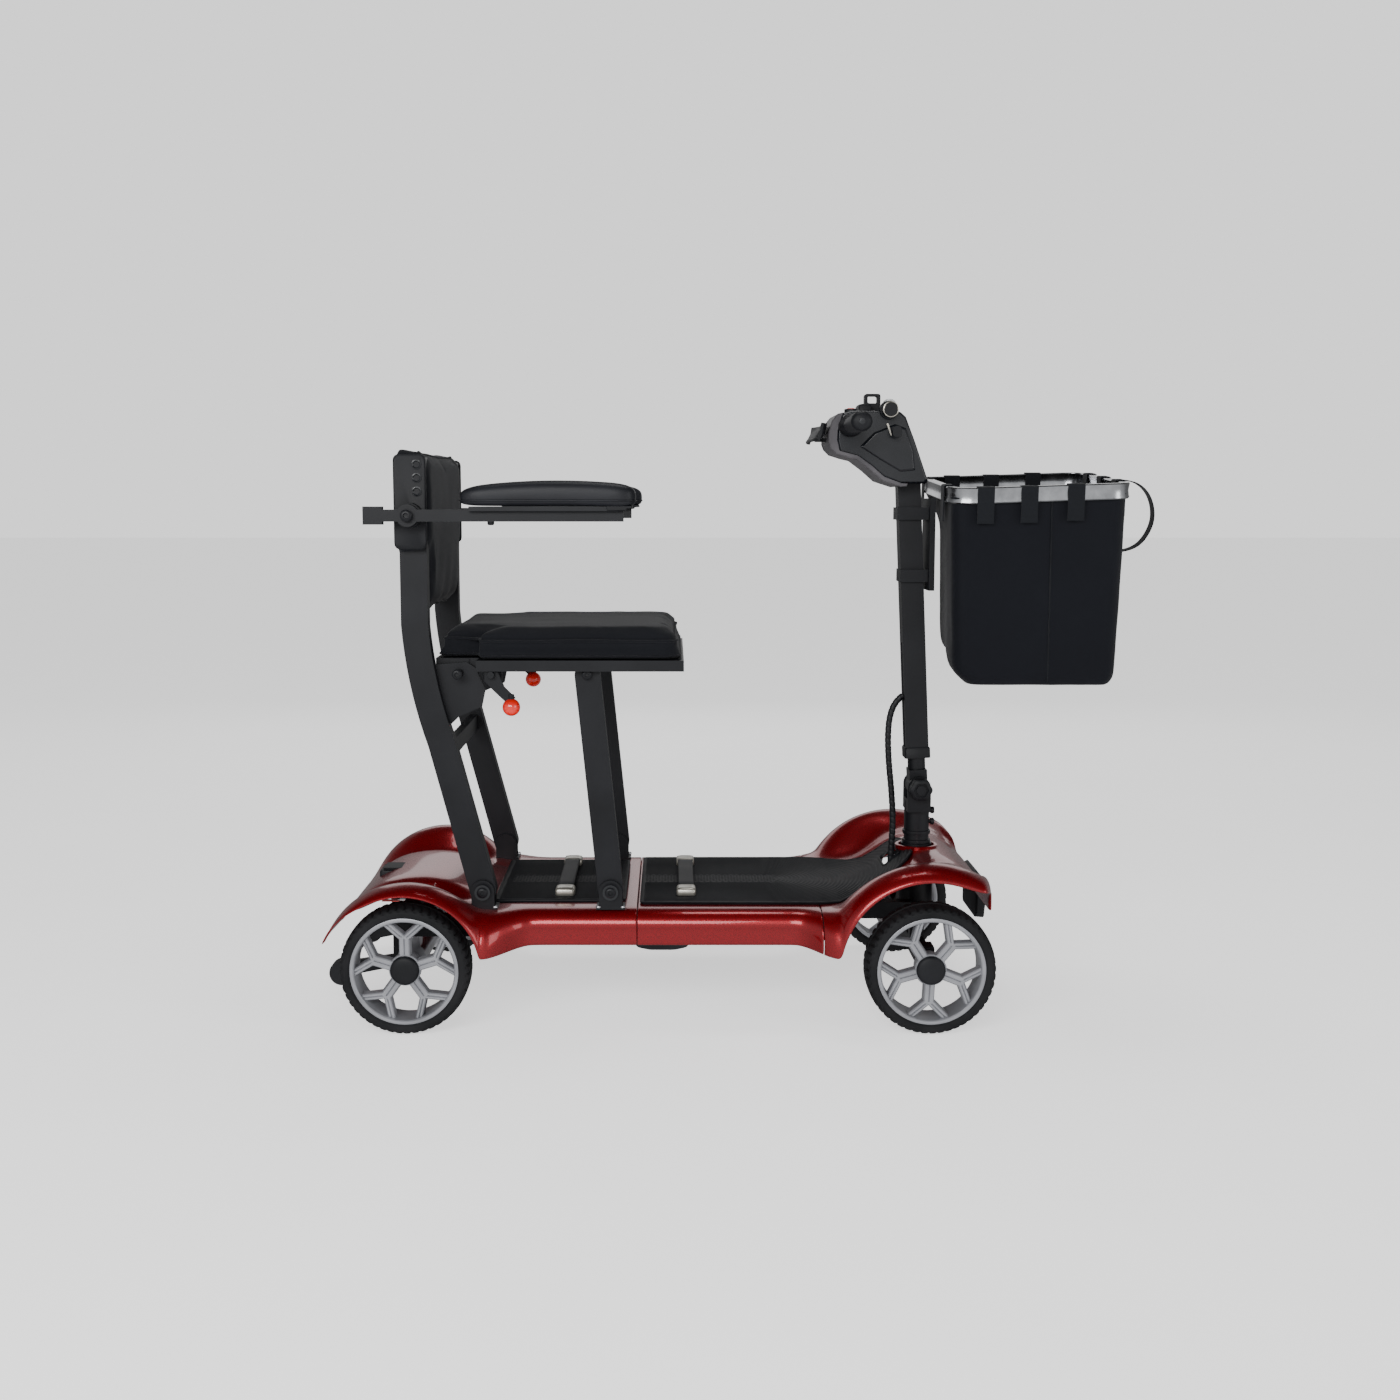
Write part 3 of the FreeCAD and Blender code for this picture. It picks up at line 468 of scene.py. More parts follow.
def body_ring(x, push=0.0, drop=0.0):
    half = [(px + push, y, z - drop) for px, y, z in body_section(x)]
    return [(px, -y, z) for px, y, z in reversed(half[1:])] + half


def body_shell(name, stations, holes=None, extra=()):
    """One cowl: the rings at the stations, with the faces left out where holes says so."""
    rings = [body_ring(x) for x in stations] + list(extra)
    points, faces = loft(rings, closed=False)
    if holes:
        kept = []
        for face in faces:
            centre = [sum(points[i][k] for i in face) / len(face) for k in (0, 1)]
            if not holes(*centre):
                kept.append(face)
        faces = kept
    return piece(name, (points, faces), "red_cowl", "chassis", replaces=(name.replace("shell", "cowl"),),
                 smooth=60, thick=2.2, subdivide=2)


def hollowed(made, name, shape):
    """Cuts a shape out of a piece, and leaves no cutter behind."""
    points, faces = shape
    mesh = bpy.data.meshes.new(name)
    mesh.from_pydata([at(*p) for p in points], [], faces)
    tidy = bmesh.new()
    tidy.from_mesh(mesh)
    bmesh.ops.recalc_face_normals(tidy, faces=tidy.faces)
    tidy.to_mesh(mesh)
    tidy.free()
    cutter = bpy.data.objects.new(name, mesh)
    bpy.context.scene.collection.objects.link(cutter)
    opening = made.modifiers.new(name, "BOOLEAN")
    opening.operation = "DIFFERENCE"
    opening.object = cutter
    settle(made)
    bpy.data.objects.remove(cutter)


def settle(made):
    """Makes a piece's modifiers part of its mesh."""
    bpy.context.view_layer.update()
    graph = bpy.context.evaluated_depsgraph_get()
    mesh = bpy.data.meshes.new_from_object(made.evaluated_get(graph), depsgraph=graph)
    made.modifiers.clear()
    made.data = mesh
    mesh.shade_smooth()
    mesh.set_sharp_from_angle(angle=math.radians(38))


def bodywork():
    near = (101.8, 101.0, 98.5, 95, 90, 82, 72, 60, 45, 28, 10)
    rear = [TAIL, TAIL + 1.5, TAIL + 8, TAIL + 18, -440, -425, -408, -392]
    rear += [-AXLE_X + d for d in (-16, -3, 10, 28, 45, 60, 72, 82, 90, 95, 98.5, 101.0, 101.8)]
    rear += [-257, -255, -250.5, -248.6, -243, -232, -220, -207, -196, -186, -150, -110, -61, -58.6, -54]
    rear += [REAR_SEAM - 3, REAR_SEAM - 0.4]
    lid = span("battery_lid")
    body_shell("shell_rear", rear, lambda x, y: lid[0].x < x < lid[1].x and abs(y) < 133)
    body_shell("shell_middle", [REAR_SEAM + 0.3, REAR_SEAM + 2, 0, 60, 120, 172, 180, 190, 200, 207,
                                FRONT_SEAM - 3, FRONT_SEAM - 0.4])
    front = [FRONT_SEAM + 0.4, FRONT_SEAM + 3, 222, 230, 236, 239.6]
    front += [AXLE_X - d for d in (120.6, 119, 115, 108, 98, 86, 72, 56, 38, 20, 2)]
    front += [378, 396, 410, 420, 428, 434]
    nose = []
    for x, width, height in ((440, 0.93, 0.985), (446, 0.84, 0.955), (450, 0.76, 0.93), (NOSE, 0.70, 0.90)):
        ring = [(x, y * width, z * height) for _, y, z in body_ring(434)]
        nose.append(ring)
    for z_top in (165, 159):
        nose.append([(NOSE, y, min(z, z_top)) for _, y, z in nose[3]])
    shell = body_shell("shell_front", front, extra=nose)
    column = middle("steering_column")
    place = ((column.x - DATUM) / MM + 2.2, 0, 150)
    place = (span("steering_head")[0].x + 31, 0, 150)
    hollowed(shell, "column_hole", turned([(26.5, 0), (26.5, 100)], place, "z", 48))
    hollowed(shell, "cable_slot", plate(oblong((317, 344), (-29, 29), 5), 150, 240))
    ring = [(26.6, -6), (30.5, -5), (31.5, 1.2), (29, 2.4), (26.6, 1.4)]
    piece("column_ring", turned(ring, (place[0], 0, 218.5), "z", 56, closed=True), "red_cowl", "chassis", smooth=50)


def mat_grid(name, x_range, half_at, height_at, relief, finish, body, replaces, step=1.5, thick=3.0):
    """A ribbed rubber mat over the bodywork."""
    rows = int((x_range[1] - x_range[0]) / step)
    columns = int(2 * max(half_at(x_range[0] + 20), half_at(x_range[1] - 20)) / step)
    rings = []
    for row in range(rows + 1):
        x = mix(x_range[0], x_range[1], row / rows)
        half = half_at(x)
        ring = []
        for column in range(columns + 1):
            y = mix(-half, half, column / columns)
            ring.append((x, y, height_at(x) + relief(x, y, half)))
        rings.append(ring)
    return piece(name, loft(rings, closed=False), finish, body, replaces=replaces, smooth=80, thick=thick)


def dots(x, y):
    return max(0.0, math.cos(2 * math.pi * x / 9) * math.cos(2 * math.pi * y / 9)) * 0.9


def mats():
    lid_low, lid_high = span("battery_lid")

    def lid_half(x):
        edge = min(x - lid_low.x, lid_high.x - x)
        return lid_high.y - (0 if edge > 6 else 6 - math.sqrt(max(36 - (6 - edge) ** 2, 0)))

    def lid_relief(x, y, half):
        edge = min(x - lid_low.x, lid_high.x - x, half - abs(y))
        if edge < 8:
            return -1.0 + 0.9 * ease(0, 2.5, edge) - 0.9 * ease(5.5, 7, edge)
        if abs(y) < 22 and 18 < x - lid_low.x and lid_high.x - x > 16:
            return dots(x, y) - 0.9
        return -0.5 + 0.5 * math.cos(2 * math.pi * y / 6)

    lid = mat_grid("lid_top", (lid_low.x, lid_high.x), lid_half, lambda x: lid_high.z, lid_relief, "ribbed_mat",
                   "battery", ("battery_lid",), 1.5, 7.0)

    def mat_half(x):
        shape = [(-43, 150), (215, 151), (243, 145), (262, 122), (280, 101), (300, 92), (336, 83), (348, 72),
                 (356, 54), (361, 32)]
        edge = x - (REAR_SEAM + 3)
        return through(shape, x) - (0 if edge > 7 else 7 - math.sqrt(max(49 - (7 - edge) ** 2, 0)))

    def mat_relief(x, y, half):
        centre = 140
        edge = min(half - abs(y), x - REAR_SEAM - 3)
        if edge < 5:
            return mix(-1.0, 0, ease(0, 2, edge))
        if abs(y) < 24 and x < centre + 18:
            return dots(x, y) - 0.9
        reach = math.hypot(max(x - centre, 0) * 1.0, y)
        return -0.55 + 0.55 * math.cos(2 * math.pi * reach / 6.5)

    mat = mat_grid("deck_mat", (REAR_SEAM + 3, 359), mat_half, lambda x: through(SPINE, x) + 4, mat_relief,
                   "ribbed_mat", "chassis", ("front_mat",), 1.6, 3.4)
    settle(mat)
    hollowed(mat, "mat_slot", plate(oblong((318, 343.4), (-28, 28), 5), 150, 240))
    column_x = span("steering_head")[0].x + 31
    hollowed(mat, "mat_hole", turned([(31.7, 0), (31.7, 100)], (column_x, 0, 150), "z", 48))
    lip = oblong((318, 343.4), (-28, 28), 5)
    rings = []
    for inset, lift in ((0, 2.5), (0, 5.2), (-2.2, 5.6), (-3.2, 2.5)):
        rings.append([(x + math.copysign(inset, 330 - x), y - math.copysign(inset, y),
                       through(SPINE, x) + lift) for x, y in lip])
    rings.append(rings[0])
    piece("slot_lip", loft(rings, caps=False), "dark_plastic", "chassis", smooth=50)
    # Painted shade: a dark plate under the cable slot stands in for the shade inside the body, so the floor does not
    # show through the slot.
    piece("slot_shade_plate", plate(oblong((313, 342), (-32, 32), 4, 3), 168, 170), "dark_plastic", "chassis",
          smooth=40, bevel=0.5, steps=1)


def straps():
    for name, body, node in (("deck_handle", "chassis", "front_carry_strap"),
                             ("battery_handle", "battery", "battery_carry_strap")):
        low, high = span(node)
        x, top = (low.x + high.x) / 2, high.z
        base = low.z
        rings = []
        for step in range(25):
            y = mix(low.y + 14, high.y - 14, step / 24)
            lift = ease(0, 26, min(y - low.y - 14, high.y - 14 - y))
            z = mix(base + 5, top - 3, lift)
            section = oblong((x - 11.5, x + 11.5), (z - 2.6, z + 2.8), 2.2, 3)
            rings.append([(u, y, v) for u, v in section])
        piece(f"{name}_web", loft(rings), "dark_plastic", body, slot="black_plastic", replaces=(node,), smooth=50)
        for side, sign in SIDES:
            y0, y1 = sorted((sign * 84, sign * (high.y - 0.3)))
            cap_rings = []
            for inset, z in ((0.6, base + 0.1), (0, base + 1.4), (0, base + 7.6), (1.4, base + 10.2),
                             (4.5, base + 11.4)):
                outline = oblong((x - 13.8 + inset, x + 13.8 - inset), (y0 + inset, y1 - inset), 4.0, 4)
                cap_rings.append([(u, v, z) for u, v in outline])
            piece(f"{name}_cap_{side}", loft(cap_rings), "strap_cap", body, slot="black_plastic", smooth=40)


def nose_unit():
    low, high = span("nose_bumper")
    outline = [(low.x - 1, low.z + 2), (low.x - 1, high.z - 4), (low.x + 5, high.z - 1), (low.x + 12, high.z - 9),
               (high.x - 1.5, low.z + 36), (high.x - 3, low.z + 22), (high.x - 6, low.z + 1)]
    rings = []
    for share, inset in ((-1, 9), (-0.93, 3), (-0.8, 0), (-0.3, 0), (0.3, 0), (0.8, 0), (0.93, 3), (1, 9)):
        y = share * high.y
        middle_x, middle_z = (low.x + high.x) / 2 - 3, (low.z + high.z) / 2
        ring = []
        for x, z in outline:
            away = Vector((x - middle_x, z - middle_z))
            shrink = 1 - inset / max(away.length, 12)
            ring.append((middle_x + away.x * shrink, y, middle_z + away.y * shrink))
        rings.append(ring)
    piece("nose_cover", loft(rings), "dark_plastic", "chassis", replaces=("nose_bumper",), smooth=50, bevel=1.0)
    low, high = span("headlight")
    rings = []
    for inset, x in ((0, low.x - 4), (0, low.x + 1.6), (1.5, high.x - 0.6), (4, high.x - 0.1)):
        outline = oblong((low.y + inset, high.y - inset), (low.z + inset, high.z - inset), 6, 5)
        rings.append([(x, y, z) for y, z in outline])
    piece("headlight_lens", loft(rings), "lamp_lens", "chassis", replaces=("headlight",), smooth=50)
    bezel = []
    for grow, x in ((0.2, low.x - 5), (0.2, low.x + 1.2), (2.6, low.x + 0.8), (3.2, low.x - 5)):
        outline = oblong((low.y - grow, high.y + grow), (low.z - grow, high.z + grow), 6.5, 5)
        bezel.append([(x, y, z) for y, z in outline])
    bezel.append(bezel[0])
    piece("headlight_bezel", loft(bezel, caps=False), "black_plastic", "chassis", smooth=50)


# --- wheels ----------------------------------------------------------------------------------------------


def spoke_bar(start, end, half, face, depth, taper=0.0):
    """A cast bar in the wheel's plane, with a groove down its outer face."""
    run = Vector(end) - Vector(start)
    across = Vector((-run.y, run.x)).normalized()
    rings = []
    for share in (0, 1):
        centre = Vector(start) + run * share
        width = half - taper * share
        section = [(-width - 1.2, -depth), (-width, -1.6), (-width + 1.4, 0), (-1.1, 0), (0, -1.5), (1.1, 0),
                   (width - 1.4, 0), (width, -1.6), (width + 1.2, -depth)]
        rings.append([(centre.x + across.x * u, face + v, centre.y + across.y * u) for u, v in section])
    return loft(rings)


def wheel(end, side, sign):
    name = f"{end}_{side}"
    body = f"wheel_{name}"
    low, high = span(f"tyre_{name}")
    centre = (low + high) / 2
    radius = (high.x - low.x) / 2
    half = (high.y - low.y) / 2
    steps = 192
    profile = []
    for share, drop in ((-0.90, 16), (-0.985, 13), (-1.0, 9.5), (-0.985, 6.5), (-0.93, 4.2), (-0.86, 2.4), (-0.72, 1.0),
                        (-0.5, 0.3), (-0.3, 0.05), (-0.1, 0), (-0.06, 2), (0.06, 2), (0.1, 0), (0.3, 0.05),
                        (0.5, 0.3), (0.72, 1.0), (0.86, 2.4), (0.93, 4.2), (0.985, 6.5), (1.0, 9.5), (0.985, 13),
                        (0.90, 16)):
        profile.append((share * half, radius - drop))
    rings = []
    for step in range(steps):
        ring = []
        for y, r in profile:
            skew = 1 if y > 0 else 0
            slot = (step + 2 * skew + int(abs(y) / half * 2.2)) % 4 == 0
            edge = 0.28 < abs(y) / half < 0.985 and r > radius - 8
            r_cut = r - (2.3 if slot and edge else 0)
            angle = 2 * math.pi * step / steps
            ring.append((centre.x + r_cut * math.cos(angle), centre.y + y, centre.z + r_cut * math.sin(angle)))
        rings.append(ring)
    points, faces = loft(rings + [rings[0]], closed=False)
    count = len(profile)
    total = steps * count
    faces = [tuple(i % total for i in face) for face in faces]
    faces += [(s * count, ((s + 1) % steps) * count, ((s + 1) % steps) * count + count - 1, s * count + count - 1)
              for s in range(steps)]
    piece(f"tread_{name}", (points[:total], faces), "tyre", body, replaces=(f"tyre_{name}",), smooth=28)

    rim = radius - 15.4
    face = sign * (half - 2.5)
    barrel = [(rim, -24), (rim, 24.6), (rim - 1.5, 25.2), (rim - 4.2, 25.0), (rim - 5.6, 23.6), (rim - 6.2, 20),
              (rim - 6.8, 0), (rim - 6.2, -22), (rim - 3, -24)]
    parts = [turned([(r, sign * y) for r, y in barrel], centre, steps=72, closed=True)]
    phase = 90 if end == "rear" else 51
    shapes = []
    for turn in range(5):
        angle = math.radians(phase + 72 * turn)

        def spot(r, off):
            return (r * math.cos(angle + off), r * math.sin(angle + off))

        junction = 0.60 * rim
        shapes.append(spoke_bar(spot(14, 0), spot(junction + 2, 0), 7.2, 0, 13))
        for lean in (-1, 1):
            shapes.append(spoke_bar(spot(junction - 1.5, 0), spot(rim - 4, lean * math.radians(21)), 4.6, 0, 13))
    for shape in shapes:
        points, faces = shape
        dish = [(centre.x + x, centre.y + sign * (19.5 + y - 3.0 * (1 - math.hypot(x, z) / rim)), centre.z + z)
                for x, y, z in points]
        parts.append((dish, faces))
    hub = [(24, 8), (24, 15), (22.5, 17), (15, 17)]
    parts.append(turned([(15, -12), (20, -12)] + [(r, y) for r, y in [(22, 8), (22, 15.5), (20.8, 17), (15, 17)]]
                        if sign > 0 else [(15, 12), (20, 12), (22, -8), (22, -15.5), (20.8, -17), (15, -17)],
                        centre, steps=48, closed=True))
    piece(f"spokes_{name}", joined(*parts), "wheel_silver", body, replaces=(f"rim_{name}",), smooth=32)
    cap = [(0.5, 24.2), (8, 24.1), (15, 23.3), (18.4, 22.0), (19.8, 20.0), (20.2, 16), (19, 12)]
    piece(f"hub_cap_{name}", turned([(r, sign * y) for r, y in cap], centre, steps=48), "dark_plastic", body,
          smooth=40)
    inner = [(16, -20), (16, 14)]
    piece(f"hub_core_{name}", turned([(r, sign * y) for r, y in inner], centre, steps=32), "steel", body, smooth=40)


# --- soft parts ------------------------------------------------------------------------------------------


def remeshed(made, voxel):
    made.modifiers.new("voxels", "REMESH").mode = "VOXEL"
    made.modifiers["voxels"].voxel_size = voxel * MM
    settle(made)


def puffed(made, cap, held, pressure=4.0, voxel=5.0):
    """Blows a pad up with cloth simulation; held gives the share of the swelling a point may take."""
    remeshed(made, voxel)
    rest = np.array([v.co for v in made.data.vertices])
    cloth = made.modifiers.new("cloth", "CLOTH")
    cloth.settings.use_pressure = True
    cloth.settings.uniform_pressure_force = pressure
    cloth.settings.effector_weights.gravity = 0
    cloth.settings.quality = 4
    scene = bpy.context.scene
    for step in range(1, 21):
        scene.frame_set(step)
    graph = bpy.context.evaluated_depsgraph_get()
    swollen = np.array([v.co for v in made.evaluated_get(graph).data.vertices])
    made.modifiers.clear()
    scene.frame_set(1)
    move = swollen - rest
    length = np.linalg.norm(move, axis=1)
    move *= (np.minimum(length, cap * MM) / np.maximum(length, 1e-9))[:, None]
    share = np.array([held(*((Vector(p) - Vector((DATUM, 0, 0))) / MM)) for p in rest])
    made.data.vertices.foreach_set("co", (rest + move * share[:, None]).ravel())
    made.modifiers.new("round", "SUBSURF").render_levels = 1
    made.modifiers["round"].levels = 1
    settle(made)


def wrinkled(made, wave):
    """Moves each point along its normal by wave(x, y, z), in millimetres."""
    moved = []
    for vertex in made.data.vertices:
        p = (vertex.co - Vector((DATUM, 0, 0))) / MM
        moved.extend(vertex.co + vertex.normal * wave(p.x, p.y, p.z) * MM)
    made.data.vertices.foreach_set("co", moved)
    made.data.update()


def dented(x, y, z, scale=55, depth=1.0):
    return depth * noise.noise(Vector((x / scale, y / scale, z / scale)))


def hugged(path, made, proud):
    """A path brought to the nearest place on a piece's surface, and a little proud of it."""
    tree = BVHTree.FromObject(made, bpy.context.evaluated_depsgraph_get())
    found = []
    for point in path:
        place, normal, _, _ = tree.find_nearest(Vector((DATUM, 0, 0)) + Vector(point) * MM)
        spot = (place + normal * proud * MM - Vector((DATUM, 0, 0))) / MM
        if not found or (spot - found[-1]).length > 2.5:
            found.append(spot)
    return [(found[i - 1] + 2 * spot + found[(i + 1) % len(found)]) / 4 for i, spot in enumerate(found)]


def piping(name, path, radius, finish, body, slot=None, closed=True, sides=8):
    """A round welt along a closed path of points."""
    count = len(path)
    rings = []
    for i, point in enumerate(path):
        before, after = Vector(path[i - 1]), Vector(path[(i + 1) % count])
        if not closed:
            before = Vector(path[max(i - 1, 0)])
            after = Vector(path[min(i + 1, count - 1)])
        run = (after - before).normalized()
        first = run.cross(Vector((0.13, 0.31, 0.94))).normalized()
        second = run.cross(first)
        ring = []
        for k in range(sides):
            angle = 2 * math.pi * k / sides
            ring.append(tuple(Vector(point) + (first * math.cos(angle) + second * math.sin(angle)) * radius))
        rings.append(ring)
    if closed:
        rings.append(rings[0])
    return piece(name, loft(rings, caps=not closed), finish, body, slot=slot, smooth=60)


def cushion_outline(grow):
    low, high = span("seat_cushion")
    notch_x, notch_y = -262, 148
    outline = oblong((low.x - grow, high.x + grow), (low.y - grow, high.y + grow), 22, 5)
    shaped = []
    for x, y in outline:
        if x < notch_x - 20 and abs(y) > notch_y:
            continue
        shaped.append((x, y))
    corner = [(notch_x - grow, high.y + grow), (notch_x - grow, notch_y + grow), (low.x - grow, notch_y + grow)]
    left = [p for p in shaped if p[0] > notch_x - 20 and p[1] > 0]
    right = [p for p in shaped if p[0] > notch_x - 20 and p[1] < 0]
    return left + corner + [(x, -y) for x, y in reversed(corner)] + right


def seat_soft():
    low, high = span("seat_cushion")
    rings = []
    for grow, z in ((-7, low.z + 1.5), (-3, low.z + 6), (-3, high.z - 9), (-8, high.z - 3)):
        rings.append([(x, y, z) for x, y in cushion_outline(grow)])
    cushion = piece("cushion", loft(rings), "seat_fabric", None, smooth=60)
    puffed(cushion, 9, lambda x, y, z: ease(low.z + 3, low.z + 20, z))
    wrinkled(cushion, lambda x, y, z: dented(x, y, z, 70, 1.2) * ease(low.z + 10, high.z, z)
             - 1.6 * math.exp(-((z - (high.z - 9)) / 3) ** 2))
    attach(cushion, "seat")
    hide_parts("seat_cushion")
    welt = resampled(cushion_outline(1.6), 8)
    piping("cushion_welt", hugged([(x, y, high.z - 8.5) for x, y in welt], cushion, 0.6), 2.0, "seat_fabric",
           "seat")
    lower = [(x, y, low.z + 4.5) for x, y in resampled(cushion_outline(-0.8), 8)]
    piping("cushion_lower_welt", hugged(lower, cushion, 0.4), 1.7, "seat_fabric", "seat")

    low, high = span("backrest_pad")
    upper = oblong((-184, 184), (640, high.z - 4), 16, 4)
    skirt = [(-184, 662), (-150, 636), (-146, low.z + 12), (-136, low.z + 2), (136, low.z + 2), (146, low.z + 12),
             (150, 636), (184, 662)]
    outline = [p for p in upper if p[1] > 700] + skirt
    rings = []
    for x, inset in ((low.x + 6, 8), (low.x + 10, 2), (high.x - 9, 2), (high.x - 4, 8)):
        middle_z = (low.z + high.z) / 2
        ring = []
        for y, z in outline:
            ring.append((x, y - math.copysign(min(inset, abs(y)), y), z - math.copysign(inset, z - middle_z)))
        rings.append(ring)
    back = piece("back_pad", loft(rings), "seat_fabric", None, smooth=60)
    puffed(back, 9, lambda x, y, z: 0.35 + 0.65 * ease(low.x + 8, high.x - 12, x))
    wrinkled(back, lambda x, y, z: dented(x, y, z, 60, 1.3)
             + 1.1 * math.sin(y / 13 + 2 * math.sin(z / 40)) * (1 - ease(low.z + 20, low.z + 120, z)))
    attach(back, "rear_frame")
    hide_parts("backrest_pad")
    welt = resampled([(y * 1.004, z) for y, z in outline], 8)
    piping("back_welt", hugged([(high.x - 8, y, z) for y, z in welt], back, 0.5), 1.8, "seat_fabric",
           "rear_frame")


def resampled(outline, step):
    """Points an even step apart round a closed outline."""
    points = []
    for i, first in enumerate(outline):
        second = outline[(i + 1) % len(outline)]
        length = math.dist(first, second)
        for k in range(max(int(length / step), 1)):
            share = k / max(int(length / step), 1)
            points.append(tuple(mix(a, b, share) for a, b in zip(first, second)))
    return points


def arm_pads():
    for side, sign in SIDES:
        low, high = span(f"armrest_pad_{side}")
        y_mid = (low.y + high.y) / 2
        rings = []
        stations = [0, 0.012, 0.035, 0.08, 0.16, 0.28, 0.42, 0.56, 0.70, 0.82, 0.90, 0.955, 0.985, 1]
        for share in stations:
            x = mix(low.x, high.x, share)
            end = min(1, share / 0.12, (1 - share) / 0.10)
            plan = math.sqrt(max(1 - (1 - end) ** 2, 0))
            half = mix(5, (high.y - low.y) / 2, plan)
            crown = mix(low.z + 12, high.z, math.sin(math.pi * mix(0.13, 0.80, share)) ** 0.6 * mix(0.4, 1, plan))
            base = low.z + 0.5 + 5 * (1 - plan) - 2.5 * ease(0.75, 0.95, share) * plan
            ring = []
            for k in range(20):
                angle = 2 * math.pi * k / 20
                u, v = math.cos(angle), math.sin(angle)
                y = y_mid + half * math.copysign(abs(u) ** 0.62, u)
                rise = mix(base, crown, 0.45)
                z = rise + (crown - rise) * max(v, 0) ** 0.75 if v > 0 else rise - (rise - base) * (-v) ** 0.45
                ring.append((x, y, z))
            rings.append(ring)
        pad = piece(f"arm_pad_{side}", loft(rings), "arm_vinyl", f"armrest_{side}",
                    replaces=(f"armrest_pad_{side}",), smooth=70, subdivide=2)
        welt = []
        for k in range(60):
            angle = 2 * math.pi * k / 60
            u, v = math.cos(angle), math.sin(angle)
            x = mix(low.x, high.x, 0.5 + 0.492 * math.copysign(abs(u) ** 0.5, u))
            welt.append((x, y_mid + 22.6 * math.copysign(abs(v) ** 0.6, v), low.z + 8))
        piping(f"arm_welt_{side}", hugged(welt, pad, 0.3), 1.3, "arm_vinyl", f"armrest_{side}")
        bar_low, bar_high = span(f"armrest_bar_{side}")
        for k, x in enumerate((high.x - 62, high.x - 34, low.x + 40)):
            head = [(4.6, 0), (4.6, -3), (3.6, -4.6), (0.4, -4.9)]
            piece(f"arm_screw_{side}_{k}", turned(head, (x, sign * 215, 716 if k < 2 else 702), "z", 16),
                  "black_frame", f"armrest_{side}", smooth=40)
        step_outline = [(high.x - 40, low.z + 1), (high.x - 5, low.z + 1), (high.x - 4, low.z - 2.5),
                        (high.x - 12, low.z - 3), (high.x - 13, low.z - 5.5), (high.x - 38, low.z - 5.5)]
        piece(f"arm_toe_{side}", slab(step_outline, sign * 215 - 17, sign * 215 + 17), "dark_plastic",
              f"armrest_{side}", bevel=1.2)


# --- tiller ----------------------------------------------------------------------------------------------


def grown(outline, share):
    middle_x = sum(x for x, _ in outline) / len(outline)
    middle_z = sum(z for _, z in outline) / len(outline)
    return [(mix(middle_x, x, share), mix(middle_z, z, share)) for x, z in outline]


def crowned(outline, half, edge=5.0, shrink=0.93):
    """A slab whose two faces are a little smaller than its middle."""
    rings = []
    for y, share in ((-half, shrink), (-half + 0.4 * edge, mix(shrink, 1, 0.6)), (-half + edge, 1), (half - edge, 1),
                     (half - 0.4 * edge, mix(shrink, 1, 0.6)), (half, shrink)):
        rings.append([(x, y, z) for x, z in grown(outline, share)])
    return loft(rings)


